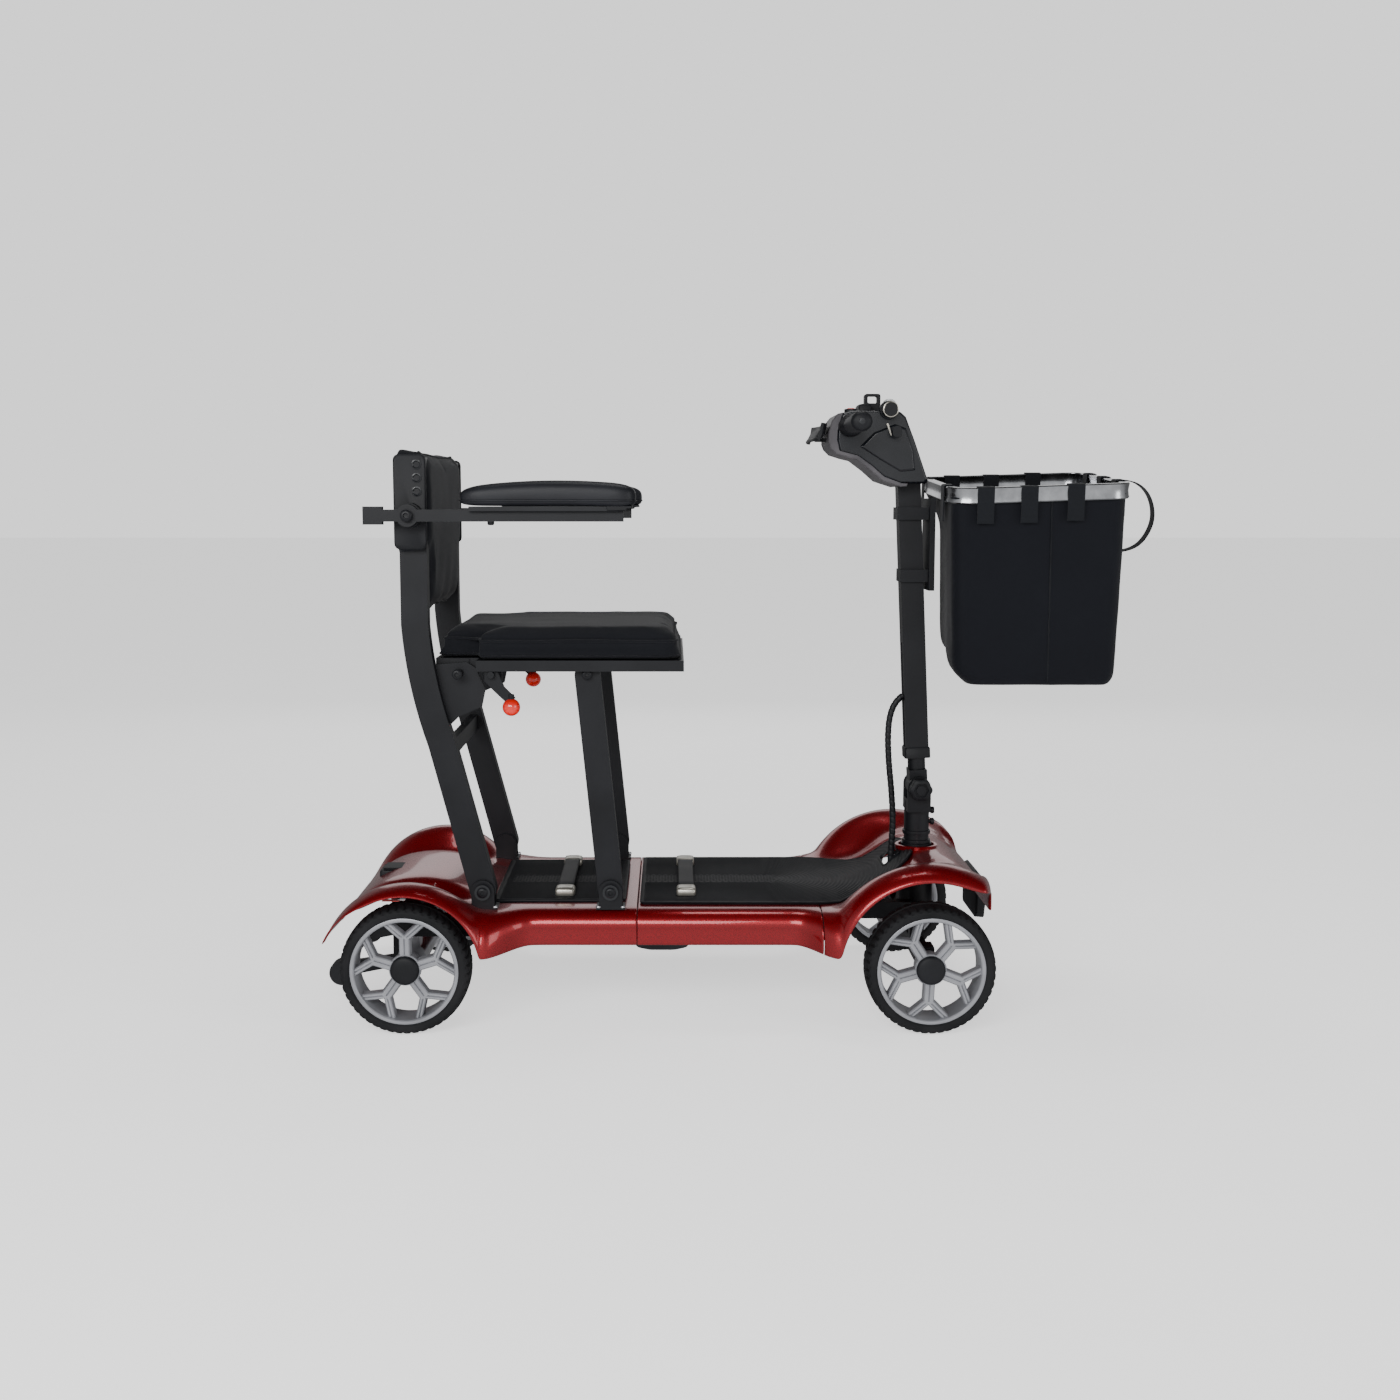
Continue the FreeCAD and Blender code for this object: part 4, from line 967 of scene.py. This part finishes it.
def tiller_head():
    low, high = span("head_lower_shell")
    half = high.y
    pod = [(243, 800), (258, 796), (270, 793), (291, 778), (308, 763), (333, 753.5), (368, 754), (371, 758),
           (352, 812), (338, 848), (330, 855), (273, 857.8), (258, 857), (247, 853), (241, 838), (240, 815)]
    piece("head_pod", crowned(pod, half, 6, 0.95), "black_plastic", "stem",
          replaces=("head_lower_shell", "head_upper_shell"), smooth=30, bevel=1.2)
    outer = [(240, 852), (232, 842), (227.5, 828), (227, 812), (230, 804), (238, 796), (255, 790.6), (268, 787.6),
             (288, 772.6), (305, 757.6), (331, 749.2), (340, 749.8)]
    inner = [(249, 854), (244, 842), (241, 828), (240.5, 815), (243.5, 805), (250, 800), (260, 797), (271, 794),
             (292, 779), (309, 763.5), (333, 754.5), (342, 754)]
    rings = []
    for y in (-half + 3, -half + 1.2, half - 1.2, half - 3):
        edge = 1.0 if abs(y) > half - 2 else 0
        ring = [(mix(o[0], i[0], 0.12 * edge), y, mix(o[1], i[1], 0.12 * edge)) for o, i in zip(outer, inner)]
        ring += [(x, y, z) for x, z in reversed(inner)]
        rings.append(ring)
    piece("head_band", loft(rings), "head_trim", "stem", slot="black_plastic", smooth=40, bevel=0.8)
    for side, sign in SIDES:
        cheek = [(272, 806), (300, 788), (331, 770), (352, 772), (349, 800), (338, 832), (322, 838), (292, 826)]
        rings = []
        for share, y in ((1, half - 1.5), (0.98, half + 0.8), (0.9, half + 2.6)):
            rings.append([(x, sign * y, z) for x, z in grown(cheek, share)])
        piece(f"head_cheek_{side}", loft(rings), "black_plastic", "stem", smooth=30, bevel=0.8)
        grip_low, grip_high = span("handlebar_grips")
        x_mid, z_mid = (grip_low.x + grip_high.x) / 2, (grip_low.z + grip_high.z) / 2
        rings = []
        for share, wide, tall in ((0, 17, 16), (0.08, 17.5, 15.5), (0.16, 16, 13.6), (0.24, 13.2, 12), (0.26, 12, 11),
                                  (0.28, 12, 11), (0.30, 14.6, 12.6), (0.5, 15.2, 13.4), (0.75, 15, 13.6),
                                  (0.93, 15, 13.8), (0.975, 14, 12.8), (1, 10, 9)):
            y = sign * mix(half - 2, grip_high.y, share)
            ring = []
            for k in range(24):
                angle = 2 * math.pi * k / 24
                ripple = 0.5 * (k % 2) if 0.3 <= share < 0.95 else 0
                ring.append((x_mid + (wide - ripple) * math.cos(angle), y, z_mid + (tall - ripple) * math.sin(angle)))
            rings.append(ring)
        kwargs = {"replaces": ("handlebar_grips",)} if sign > 0 else {}
        piece(f"grip_{side}", loft(rings), "dark_plastic", "stem", smooth=60, **kwargs)
        cap = [(0.5, 1.4), (4.0, 1.2), (4.6, 0), (4.6, -2)]
        piece(f"grip_plug_{side}", turned([(r, sign * a) for r, a in cap], (x_mid, sign * grip_high.y - sign * 1.2, z_mid),
              steps=20), "black_plastic", "stem", smooth=40)
    low, high = span("throttle_paddles")
    rings = []
    for k in range(17):
        share = k / 16 * 2 - 1
        y = share * high.y
        reach = 1 - abs(share) ** 3
        tip = mix(low.x + 8, low.x + 0.5, math.sqrt(max(reach, 0)))
        root = mix(low.x + 13, low.x + 22, reach)
        rings.append([(tip, y, 814.2), (tip + 2, y, 813), (root, y, 822), (root + 3, y, 838), (root - 1, y, 838.5),
                      (mix(tip, root, 0.5), y, 829), (tip - 0.2, y, 816.5)])
    blade = loft(rings)
    post = plate(oblong((low.x + 10, high.x), (-5.5, 5.5), 3, 3), 814.4, 819.6)
    hinge = turned([(4.9, 0), (4.9, 22)], (262, 0, 804), "z", 24)
    piece("throttle_blade", joined(blade, post, hinge), "dark_plastic", "throttle", slot="black_plastic",
          replaces=("throttle_paddles",), smooth=25)
    low, high = span("battery_gauge")
    box_rings = []
    for inset, z in ((0, low.z - 1), (0, low.z + 6.5), (1.6, low.z + 9.2), (4, low.z + 9.6)):
        outline = oblong((low.x + inset, low.x + 19 - inset), (-24 + inset, 24 - inset), 3.5, 4)
        box_rings.append([(x, y, z) for x, y in outline])
    window = plate(oblong((low.x + 5, low.x + 14), (-17, 17), 2, 3), low.z + 9.4, low.z + 10)
    piece("gauge_box", loft(box_rings), "dark_plastic", "stem", replaces=("battery_gauge",), smooth=35)
    piece("gauge_window", window, "black_plastic", "stem", smooth=35)
    outer = oblong((284, 307), (858, 883), 3.5, 4)
    inner = oblong((288.5, 302.5), (869.5, 879.5), 2.5, 4)
    rings = []
    for y, points in ((-8, outer), (8, outer), (8, inner), (-8, inner), (-8, outer)):
        rings.append([(x, y, z) for x, z in points])
    piece("hang_loop", loft(rings, caps=False), "dark_plastic", "stem", smooth=35, bevel=0.8)
    dome = [(0.4, 9), (5, 8.2), (8.6, 5.4), (10, 1.5), (10, -3)]
    piece("gauge_dome", turned(dome, (318, -22, 866), "z", 32), "pale_lens", "stem", slot="dark_plastic", smooth=60)
    stand = [(12, 4), (12.5, -12), (0.5, -12)]
    piece("dome_seat", turned([(0.5, 4)] + stand, (318, -22, 861), "z", 32), "dark_plastic", "stem", smooth=40)
    low, high = span("speed_dial")
    centre = ((low.x + high.x) / 2, 0, (low.z + high.z) / 2)
    outside = [(0.5, low.y), (9.4, low.y), (10.9, low.y + 1.8), (10.9, low.y + 14), (9.8, low.y + 15.5),
               (9.8, high.y - 0.2), (0.5, high.y - 0.2)]
    piece("dial_knob", turned(outside, centre, steps=72, lobes=18, depth=0.018), "dark_plastic", "dial",
          replaces=("speed_dial",), smooth=40)
    rim_ring = [(9.8, low.y - 0.3), (11.0, low.y + 0.2), (11.0, low.y + 1.6), (9.8, low.y + 1.6)]
    piece("dial_ring", turned(rim_ring, centre, steps=48, closed=True), "strap_cap", "dial", slot="dark_plastic",
          smooth=40)
    barrel = [(0.5, -61), (12.4, -61), (13.4, -59.5), (13.4, -48), (12, -46), (0.5, -46)]
    piece("dial_barrel", turned(barrel, centre, steps=40), "black_plastic", "stem", smooth=40)
    low, high = span("horn_button")
    push = [(0.4, high.z), (4.5, high.z - 0.2), (6.2, high.z - 1.0), (6.8, low.z + 1.2), (6.8, low.z)]
    piece("horn_cap", turned(push, ((low.x + high.x) / 2, (low.y + high.y) / 2, 0), "z", 32), "red_knob", "horn",
          slot="dark_plastic", replaces=("horn_button",), smooth=50)
    collar = [(7.6, 856), (9.6, 856), (9.6, 859.2), (8.8, 860), (7.6, 859.8)]
    piece("horn_collar", turned(collar, ((low.x + high.x) / 2, (low.y + high.y) / 2, 0), "z", 32, closed=True),
          "dark_plastic", "stem", smooth=40)
    low, high = span("ignition_key")
    centre = ((low.x + high.x) / 2, 0, (low.z + high.z) / 2)
    bow = [(u + centre[0], v + centre[2]) for u, v in oblong((-6.5, 6.5), (-8, 8), 5, 4)]
    key = joined(slab(bow, low.y, low.y + 4.2), turned([(2.4, low.y + 4), (2.4, high.y)], centre, steps=16))
    piece("key_bow", key, "dark_plastic", "key", slot="steel", replaces=("ignition_key",), smooth=40, bevel=0.6)
    lock = [(4.6, -61.5), (8.5, -61.5), (9.2, -60), (9.2, -57), (4.6, -57)]
    piece("key_lock", turned(lock, centre, steps=32, closed=True), "black_plastic", "stem", smooth=40)
    lever = [(309, 838), (312, 838.5), (317, 822), (315.4, 821)]
    piece("side_lever", slab(lever, -63.5, -60.8), "strap_cap", "stem", slot="steel", smooth=35, bevel=0.5)


def leaned(x, y, z):
    """A point drawn along the tiller's own axis from the fold pivot."""
    angle = math.radians(2.75)
    return (371 + x * math.cos(angle) - z * math.sin(angle), y, 308 + x * math.sin(angle) + z * math.cos(angle))


def stem_details():
    rings = []
    for z in (52, 446):
        rings.append([leaned(x, y, z) for x, y in ((16.2, -6.5), (17.3, -5), (17.3, 5), (16.2, 6.5))])
    piece("stem_channel", loft(rings), "dark_plastic", "stem", slot="black_frame", smooth=30)
    collar = []
    for z, grow in ((43.4, 0.6), (43.8, 2.2), (58, 2.2), (60, 0.6)):
        half = 16.5 + grow
        outline = oblong((-half, half), (-half, half), 3, 3)
        collar.append([leaned(x, y, z) for x, y in outline])
    inside = []
    for z in (60, 43.4):
        inside.append([leaned(x, y, z) for x, y in oblong((-16.6, 16.6), (-16.6, 16.6), 2.5, 3)])
    rings = collar + inside + [collar[0]]
    piece("stem_collar", loft(rings, caps=False), "dark_plastic", "stem", slot="black_frame", smooth=40)


def column_details():
    low, high = span("fold_knob")
    centre = ((low.x + high.x) / 2, 0, (low.z + high.z) / 2)
    knob = [(0.5, low.y + 0.6), (7, low.y + 0.6), (7.6, low.y + 2.4), (9.5, low.y + 2.4), (10.2, low.y), (14, low.y + 0.3),
            (16, low.y + 2), (16.4, low.y + 12), (14.5, low.y + 15.5), (9, low.y + 17.5), (9, low.y + 18.4),
            (5.9, low.y + 18.4), (5.9, high.y), (0.5, high.y)]
    piece("knob_grip", turned(knob, centre, steps=72, lobes=6, depth=0.05), "dark_plastic", "fold_knob",
          replaces=("fold_knob",), smooth=45)
    for k, z in enumerate((271, 254)):
        small = [(0.4, 8.5), (4.4, 8.0), (5.2, 6.5), (5.2, 2.8), (3.0, 2.4), (3.0, -1.5)]
        piece(f"column_screw_{k}", turned(small, (389, 0, z), "x", 20), "black_frame", "column", smooth=40)
    for z, name in ((222.2, "column_band_upper"), (236, "column_band_lower")):
        band = [(18.5, 0), (20.6, 0.6), (20.8, 3), (20.6, 5.4), (18.5, 6)]
        piece(name, turned(band, (371, 0, z), "z", 48, closed=True), "black_frame", "column", smooth=40)


def cable():
    """The spiral-wrapped steering cable, on the route of the CAD piece."""
    route = [(347.5, 443), (338, 436), (329, 416), (326, 386), (328, 344), (333, 300), (336, 256), (334, 216),
             (333, 192)]
    curve = bpy.data.curves.new("cable_line", "CURVE")
    curve.dimensions = "3D"
    spline = curve.splines.new("NURBS")
    spline.points.add(len(route) - 1)
    for point, (x, z) in zip(spline.points, reversed(route)):
        point.co = (*at(x, 0, z), 1)
    spline.order_u = 3
    spline.use_endpoint_u = True
    spline.resolution_u = 24
    carrier = bpy.data.objects.new("cable_line", curve)
    bpy.context.scene.collection.objects.link(carrier)
    bpy.context.view_layer.update()
    line_mesh = bpy.data.meshes.new_from_object(carrier)
    line = [v.co.copy() for v in line_mesh.vertices]
    bpy.data.objects.remove(carrier)
    radius = 4.75 * MM
    fine = even(line, 0.0009)
    rings = []
    travelled = 0.0
    for i, point in enumerate(fine):
        run = (fine[min(i + 1, len(fine) - 1)] - fine[max(i - 1, 0)]).normalized()
        side = Vector((0, 1, 0))
        other = run.cross(side).normalized()
        if i:
            travelled += (point - fine[i - 1]).length
        ring = []
        for k in range(20):
            angle = 2 * math.pi * k / 20
            turn = (travelled / 0.0085 + k / 20) % 1
            swell = 1.0 - 0.16 * math.exp(-((turn - 0.5) / 0.09) ** 2)
            ring.append(tuple(point + (side * math.cos(angle) + other * math.sin(angle)) * radius * swell))
        rings.append(ring)
    tube = piece("cable_sleeve", loft(rings), "cable_wrap", None, replaces=("steering_cable",), smooth=60,
                 in_metres=True)
    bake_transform(tube)


def even(line, step):
    """Points an even step apart along a line of close points."""
    total = sum((b - a).length for a, b in zip(line, line[1:]))
    count = max(int(total / step), 2)
    points, walked, index = [], 0.0, 0
    for k in range(count + 1):
        goal = total * k / count
        while index < len(line) - 2 and walked + (line[index + 1] - line[index]).length < goal:
            walked += (line[index + 1] - line[index]).length
            index += 1
        piece_length = (line[index + 1] - line[index]).length
        points.append(line[index].lerp(line[index + 1], min((goal - walked) / max(piece_length, 1e-9), 1)))
    return points


# --- basket ----------------------------------------------------------------------------------------------
ROLL = math.radians(3.9)
BASKET_REAR = 379.0
BASKET_TOP = 749.0


def hung(x, y, z):
    """A point drawn level about the middle of the rim's rear end, then rolled as the basket hangs."""
    return (BASKET_REAR + x, y * math.cos(ROLL) - z * math.sin(ROLL), BASKET_TOP + y * math.sin(ROLL) + z * math.cos(ROLL))


def basket():
    rail_centre = oblong((14, 256), (-141, 141), 26, 7)
    rings = []
    section = [(-6, 9.5), (-4.6, 11), (4.6, 11), (6, 9.5), (5.2, 6), (4.4, 0), (5.2, -6), (6, -9.5), (4.6, -11),
               (-4.6, -11), (-6, -9.5), (-5.0, -6), (-4.2, 0), (-5.0, 6)]
    count = len(rail_centre)
    for i, (x, y) in enumerate(rail_centre):
        before, after = rail_centre[i - 1], rail_centre[(i + 1) % count]
        run = Vector((after[0] - before[0], after[1] - before[1])).normalized()
        out = Vector((run.y, -run.x))
        lift = 6.5 * ease(60, 262, x)
        rings.append([hung(x + out.x * u, y + out.y * u, v * (1 if v < 0 else 1) + lift - 3.0) for u, v in section])
    rings.append(rings[0])
    piece("basket_rail", loft(rings, caps=False), "basket_rim", "basket", replaces=("basket_rim",), smooth=35)

    base = resampled(oblong((13, 256), (-140, 140), 18, 6), 7.0)
    centre_x = 134

    def wall(depth):
        target_rear = 13 + 9 * depth / 274 + 24 * ease(240, 276, depth) ** 1.4
        target_front = 256 - 6 * depth / 274 - 9 * ease(256, 276, depth)
        half = 140 + 2.5 * math.sin(math.pi * min(depth / 274, 1)) - 6 * ease(256, 276, depth)
        ring = []
        for x, y in base:
            share = (x - 13) / 243
            lift = 6.5 * ease(60, 262, x) * (1 - ease(0, 120, depth))
            fold = 1.6 * noise.noise(Vector((x / 46, y / 46, depth / 34))) * ease(10, 60, depth)
            fold += 0.9 * noise.noise(Vector((x / 17, y / 17, depth / 21))) * ease(10, 60, depth)
            px = mix(target_rear, target_front, share)
            py = y / 140 * half
            px += 24 * (1 - share) * ease(-120, 130, y) * ease(8, 60, depth)
            out = Vector((px - centre_x, py)).normalized() * fold
            ring.append(hung(px + out.x, py + out.y, -depth + lift))
        return ring

    depths = [2, 6, 12, 24, 40, 60, 82, 104, 126, 148, 170, 190, 208, 224, 238, 250, 259, 265, 269.5]
    rings = [wall(d) for d in depths]
    for shrink in (0.93, 0.8, 0.55, 0.25):
        ring = []
        for point in rings[len(depths) - 1]:
            cx, cy, cz = hung(centre_x + 8, 0, -273)
            ring.append((mix(cx, point[0], shrink), mix(cy, point[1], shrink), mix(cz, point[2], shrink)))
        rings.append(ring)
    bag = piece("bag", loft(rings, caps=False), "basket_fabric", None, smooth=60, thick=2.0)
    cap_points = [p for p in rings[-1]]
    bag.data = capped(bag.data, len(cap_points))
    bag.modifiers.new("smooth", "SUBSURF").levels = 1
    bag.modifiers["smooth"].render_levels = 1
    settle(bag)
    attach(bag, "basket")
    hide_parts("basket_bag")

    seams = []
    for x in (150,):
        for sign in (-1, 1):
            line = []
            for depth in depths[1:-1]:
                half = 140 + 2.5 * math.sin(math.pi * min(depth / 274, 1)) - 6 * ease(256, 276, depth)
                line.append(hung(x + 4 * depth / 274, sign * (half + 0.6), -depth))
            piping(f"bag_seam_{'left' if sign > 0 else 'right'}", line, 1.0, "webbing", "basket",
                   slot="basket_fabric", closed=False, sides=6)
    hem = [hung(x, y * 1.004, -7 + 6.5 * ease(60, 262, x)) for x, y in base]
    piping("bag_hem", hem, 2.0, "webbing", "basket", slot="basket_fabric")

    spots = []
    for y_sign, places in ((-1, (58, 118, 182)), (1, (58, 118, 182))):
        spots += [((x, y_sign * 141), (0, y_sign)) for x in places]
    spots += [((256, y), (1, 0)) for y in (-82, 0, 82)] + [((14, y), (-1, 0)) for y in (-92, 92)]
    for k, ((x, y), (out_x, out_y)) in enumerate(spots):
        lift = 6.5 * ease(60, 262, x) - 3.0
        rings = []
        along = (-out_y, out_x)
        for share in (-1, -0.96, 0.96, 1):
            ring = []
            for u, v in ((-7.4, -34), (-7.6, 11.5), (-5, 12.8), (5, 12.8), (7.6, 11.5), (7.9, -38), (6.6, -38),
                         (6.4, 10.6), (4.4, 11.4), (-4.4, 11.4), (-6.4, 10.6), (-6.2, -34)):
                wide = 11.5 * share
                ring.append(hung(x + out_x * u + along[0] * wide, y + out_y * u + along[1] * wide, v + lift))
            rings.append(ring)
        piece(f"rim_loop_{k}", loft(rings), "webbing", "basket", slot="basket_fabric", smooth=40)

    line = [(263, 4), (281, 10.5), (299, 9), (315, -1), (325, -16), (330, -34), (329.5, -52), (322, -70), (311, -84),
            (294, -92), (262, -96)]
    curve = even([Vector((x, 0, z)) for x, z in smoothed(line)], 6)
    rings = []
    for i, p in enumerate(curve):
        run = (curve[min(i + 1, len(curve) - 1)] - curve[max(i - 1, 0)]).normalized()
        out = Vector((run.z, 0, -run.x))
        ring = []
        for u, v in ((-10, -0.7), (10, -0.7), (10, 0.7), (-10, 0.7)):
            q = p + out * v
            ring.append(hung(q.x, u, q.z))
        rings.append(ring)
    strap = piece("handle_strap", loft(rings), "webbing", "basket", slot="basket_fabric", replaces=("basket_strap",),
                  smooth=50, bevel=0.3, steps=1)


def smoothed(line, rounds=3):
    """Corner cutting for a webbing line, with its ends kept."""
    for _ in range(rounds):
        cut = [line[0]]
        for first, second in zip(line, line[1:]):
            cut.append(tuple(mix(a, b, 0.25) for a, b in zip(first, second)))
            cut.append(tuple(mix(a, b, 0.75) for a, b in zip(first, second)))
        line = cut + [line[-1]]
    return line


def capped(mesh, count):
    """Closes a lofted mesh's last ring."""
    work = bmesh.new()
    work.from_mesh(mesh)
    work.verts.ensure_lookup_table()
    work.faces.new(work.verts[-count:])
    bmesh.ops.recalc_face_normals(work, faces=work.faces)
    work.to_mesh(mesh)
    work.free()
    return mesh


# --- fittings on the seat frame ---------------------------------------------------------------------------


def fittings():
    low, high = span("seat_feet")
    for side, sign in SIDES:
        for name, x in (("rear", -258), ("front", -80)):
            bolt(f"foot_bolt_{name}_{side}", (x, sign * high.y, 188.5), sign, "chassis", 7.5, 4.5)
            washer = [(7.6, 0), (11, 0), (11, 1.4), (7.6, 1.4)]
            shape = turned([(r, sign * a) for r, a in washer], (x, sign * high.y, 188.5), steps=28, closed=True)
            piece(f"foot_washer_{name}_{side}", shape, "black_plastic", "chassis", smooth=40)
            for k, dx in enumerate((-17, 17)):
                head = [(0.4, 3.2), (2.4, 3.0), (3.4, 2.0), (3.6, 0)]
                piece(f"foot_screw_{name}_{side}_{k}", turned(head, (x + dx, sign * 176.5, 166), "z", 16),
                      "steel", "chassis", smooth=40)
        bolt(f"seat_bolt_rear_{side}", (-289, sign * 178, 493), sign, "seat", 7, 4)
        bolt(f"seat_bolt_front_{side}", (-111, sign * 178, 493), sign, "seat", 7, 4)
        bolt(f"arm_bolt_{side}", (-347, sign * 227, 710), sign, "rear_frame", 8, 4)
        cover = oblong((-370, -326), (664, 792), 8, 4)
        rings = []
        for share, y in ((1, 183.5), (1, 187.6), (0.95, 189.4)):
            rings.append([(x, sign * y, z) for x, z in grown(cover, share)])
        piece(f"back_cover_{side}", loft(rings), "dark_plastic", "rear_frame", smooth=40, bevel=0.6)
        for k, z in enumerate((778, 760, 742)):
            eye = [(4.2, 188.8), (6.2, 189.4), (6.6, 190.4), (5.2, 190.8), (4.2, 190.0)]
            shape = turned([(r, sign * a) for r, a in eye], (-338, 0, z), steps=24, closed=True)
            piece(f"cover_eye_{k}_{side}", shape, "black_plastic", "rear_frame", smooth=40)
    release_levers()
    belly()
    low, high = span("charge_port_cap")
    rings = []
    for grow, z in ((5.5, 168), (5.5, 181), (4.6, 183.4), (1.2, 183.6)):
        outline = oblong((low.x - grow, high.x + grow), (low.y - grow, high.y + grow), 5, 4)
        rings.append([(x, y, z) for x, y in outline])
    piece("port_bezel", loft(rings), "dark_plastic", "chassis", smooth=40)


def belly():
    """The flat pan under the deck, with its shallow moulded bulge."""
    low, high = span("belly_pan")
    rings = []
    for inset, z in ((2, high.z), (0, high.z - 1), (0, high.z - 2.4), (1.5, high.z - 3.2)):
        outline = oblong((low.x + inset, high.x - inset), (low.y + inset, high.y - inset), 12, 4)
        rings.append([(x, y, z) for x, y in outline])
    pan = loft(rings)
    rings = []
    for inset, z in ((0, high.z - 2), (0, 96), (3, 88), (9, 80), (18, 75.6), (30, low.z + 0.2)):
        outline = oblong((-55 + inset, 37 - inset), (-88 + inset, 88 - inset), 15, 5)
        rings.append([(x, y, z) for x, y in outline])
    piece("belly_cover", joined(pan, loft(rings)), "dark_plastic", "chassis", replaces=("belly_pan",), smooth=50)


def release_levers():
    """The shaft and black levers under the seat, with their red balls."""
    low, high = span("seat_release_levers")
    shaft = turned([(5, low.y + 2), (5, high.y - 2)], (-242, 0, 493), steps=24)
    parts = [shaft]
    for side, sign in SIDES:
        arm = [(-251, 498), (-233, 497), (-224, 476), (-209, 461), (-219, 452), (-236, 468), (-252, 484)]
        y0, y1 = sorted((sign * 177, sign * 181.5))
        parts.append(slab(arm, y0, y1))
        stalk = [(4.2, 0), (4.2, -10)]
        parts.append(turned(stalk, (-215, sign * 179.5, 466), "z", 16))
        ball = [(12 * math.sin(math.radians(a)) + 0.2, 12 * math.cos(math.radians(a))) for a in range(2, 180, 8)]
        piece(f"release_ball_{side}", turned(ball, (-215, sign * 179.5, 448), "z", 32), "red_knob", "seat_release",
              smooth=80)
    piece("release_shaft", joined(*parts), "black_frame", "seat_release", slot="red_knob",
          replaces=("seat_release_levers",), smooth=35, bevel=0.6)


def stage():
    floor = piece("floor", ([(-30, -30, 0), (30, -30, 0), (30, 30, 0), (-30, 30, 0)], [(0, 1, 2, 3)]), "floor", None,
                  slot=None, in_metres=True)
    floor.visible_glossy = False


pale = Finish("floor", (0.86, 0.86, 0.86), (0.9, 0.9, 0.9), (0.8, 0.9), gloss=0.1)
pale.shader.inputs["Emission Color"].default_value = (1, 1, 1, 1)
pale.shader.inputs["Emission Strength"].default_value = 1.0
pale.colour(pale.noise(3))


def studio():
    """A pale surround for the camera; the light it gives comes mostly from the front, and little from overhead."""
    world = bpy.data.worlds.new("studio")
    world.use_nodes = True
    tree = world.node_tree
    backdrop = tree.nodes["Background"]
    backdrop.inputs["Color"].default_value = (1, 1, 1, 1)
    backdrop.inputs["Strength"].default_value = 1.3
    glow = tree.nodes.new("ShaderNodeBackground")
    glow.inputs["Strength"].default_value = 0.95
    direction = tree.nodes.new("ShaderNodeTexCoord")
    split = tree.nodes.new("ShaderNodeSeparateXYZ")
    tree.links.new(direction.outputs["Generated"], split.inputs[0])
    shades = []
    for axis, stops in (("Y", ((0.0, 1.0), (0.45, 0.62), (0.62, 0.28), (1.0, 0.22))),
                        ("Z", ((0.0, 1.0), (0.38, 1.0), (0.62, 0.2), (1.0, 0.12)))):
        spread = tree.nodes.new("ShaderNodeMapRange")
        spread.inputs["From Min"].default_value = -1 if axis == "Y" else 0
        tree.links.new(split.outputs[axis], spread.inputs["Value"])
        ramp = tree.nodes.new("ShaderNodeValToRGB")
        tree.links.new(spread.outputs["Result"], ramp.inputs["Fac"])
        points = ramp.color_ramp.elements
        while len(points) < len(stops):
            points.new(0.5)
        for point, (place, value) in zip(points, stops):
            point.position = place
            point.color = (value, value, value, 1)
        shades.append(ramp.outputs["Color"])
    product = tree.nodes.new("ShaderNodeMix")
    product.data_type = "RGBA"
    product.blend_type = "MULTIPLY"
    product.inputs["Factor"].default_value = 1
    tree.links.new(shades[0], product.inputs["A"])
    tree.links.new(shades[1], product.inputs["B"])
    tree.links.new(product.outputs["Result"], glow.inputs["Color"])
    rays = tree.nodes.new("ShaderNodeLightPath")
    both = tree.nodes.new("ShaderNodeMixShader")
    tree.links.new(rays.outputs["Is Camera Ray"], both.inputs["Fac"])
    tree.links.new(glow.outputs[0], both.inputs[1])
    tree.links.new(backdrop.outputs[0], both.inputs[2])
    tree.links.new(both.outputs[0], tree.nodes["World Output"].inputs["Surface"])
    bpy.context.scene.world = world


studio()

cable()
bodywork()
mats()
straps()
nose_unit()
for wheel_end in ("rear", "front"):
    for wheel_side, wheel_sign in SIDES:
        wheel(wheel_end, wheel_side, wheel_sign)
seat_soft()
arm_pads()
tiller_head()
stem_details()
column_details()
basket()
fittings()
dress_nodes()
stage()
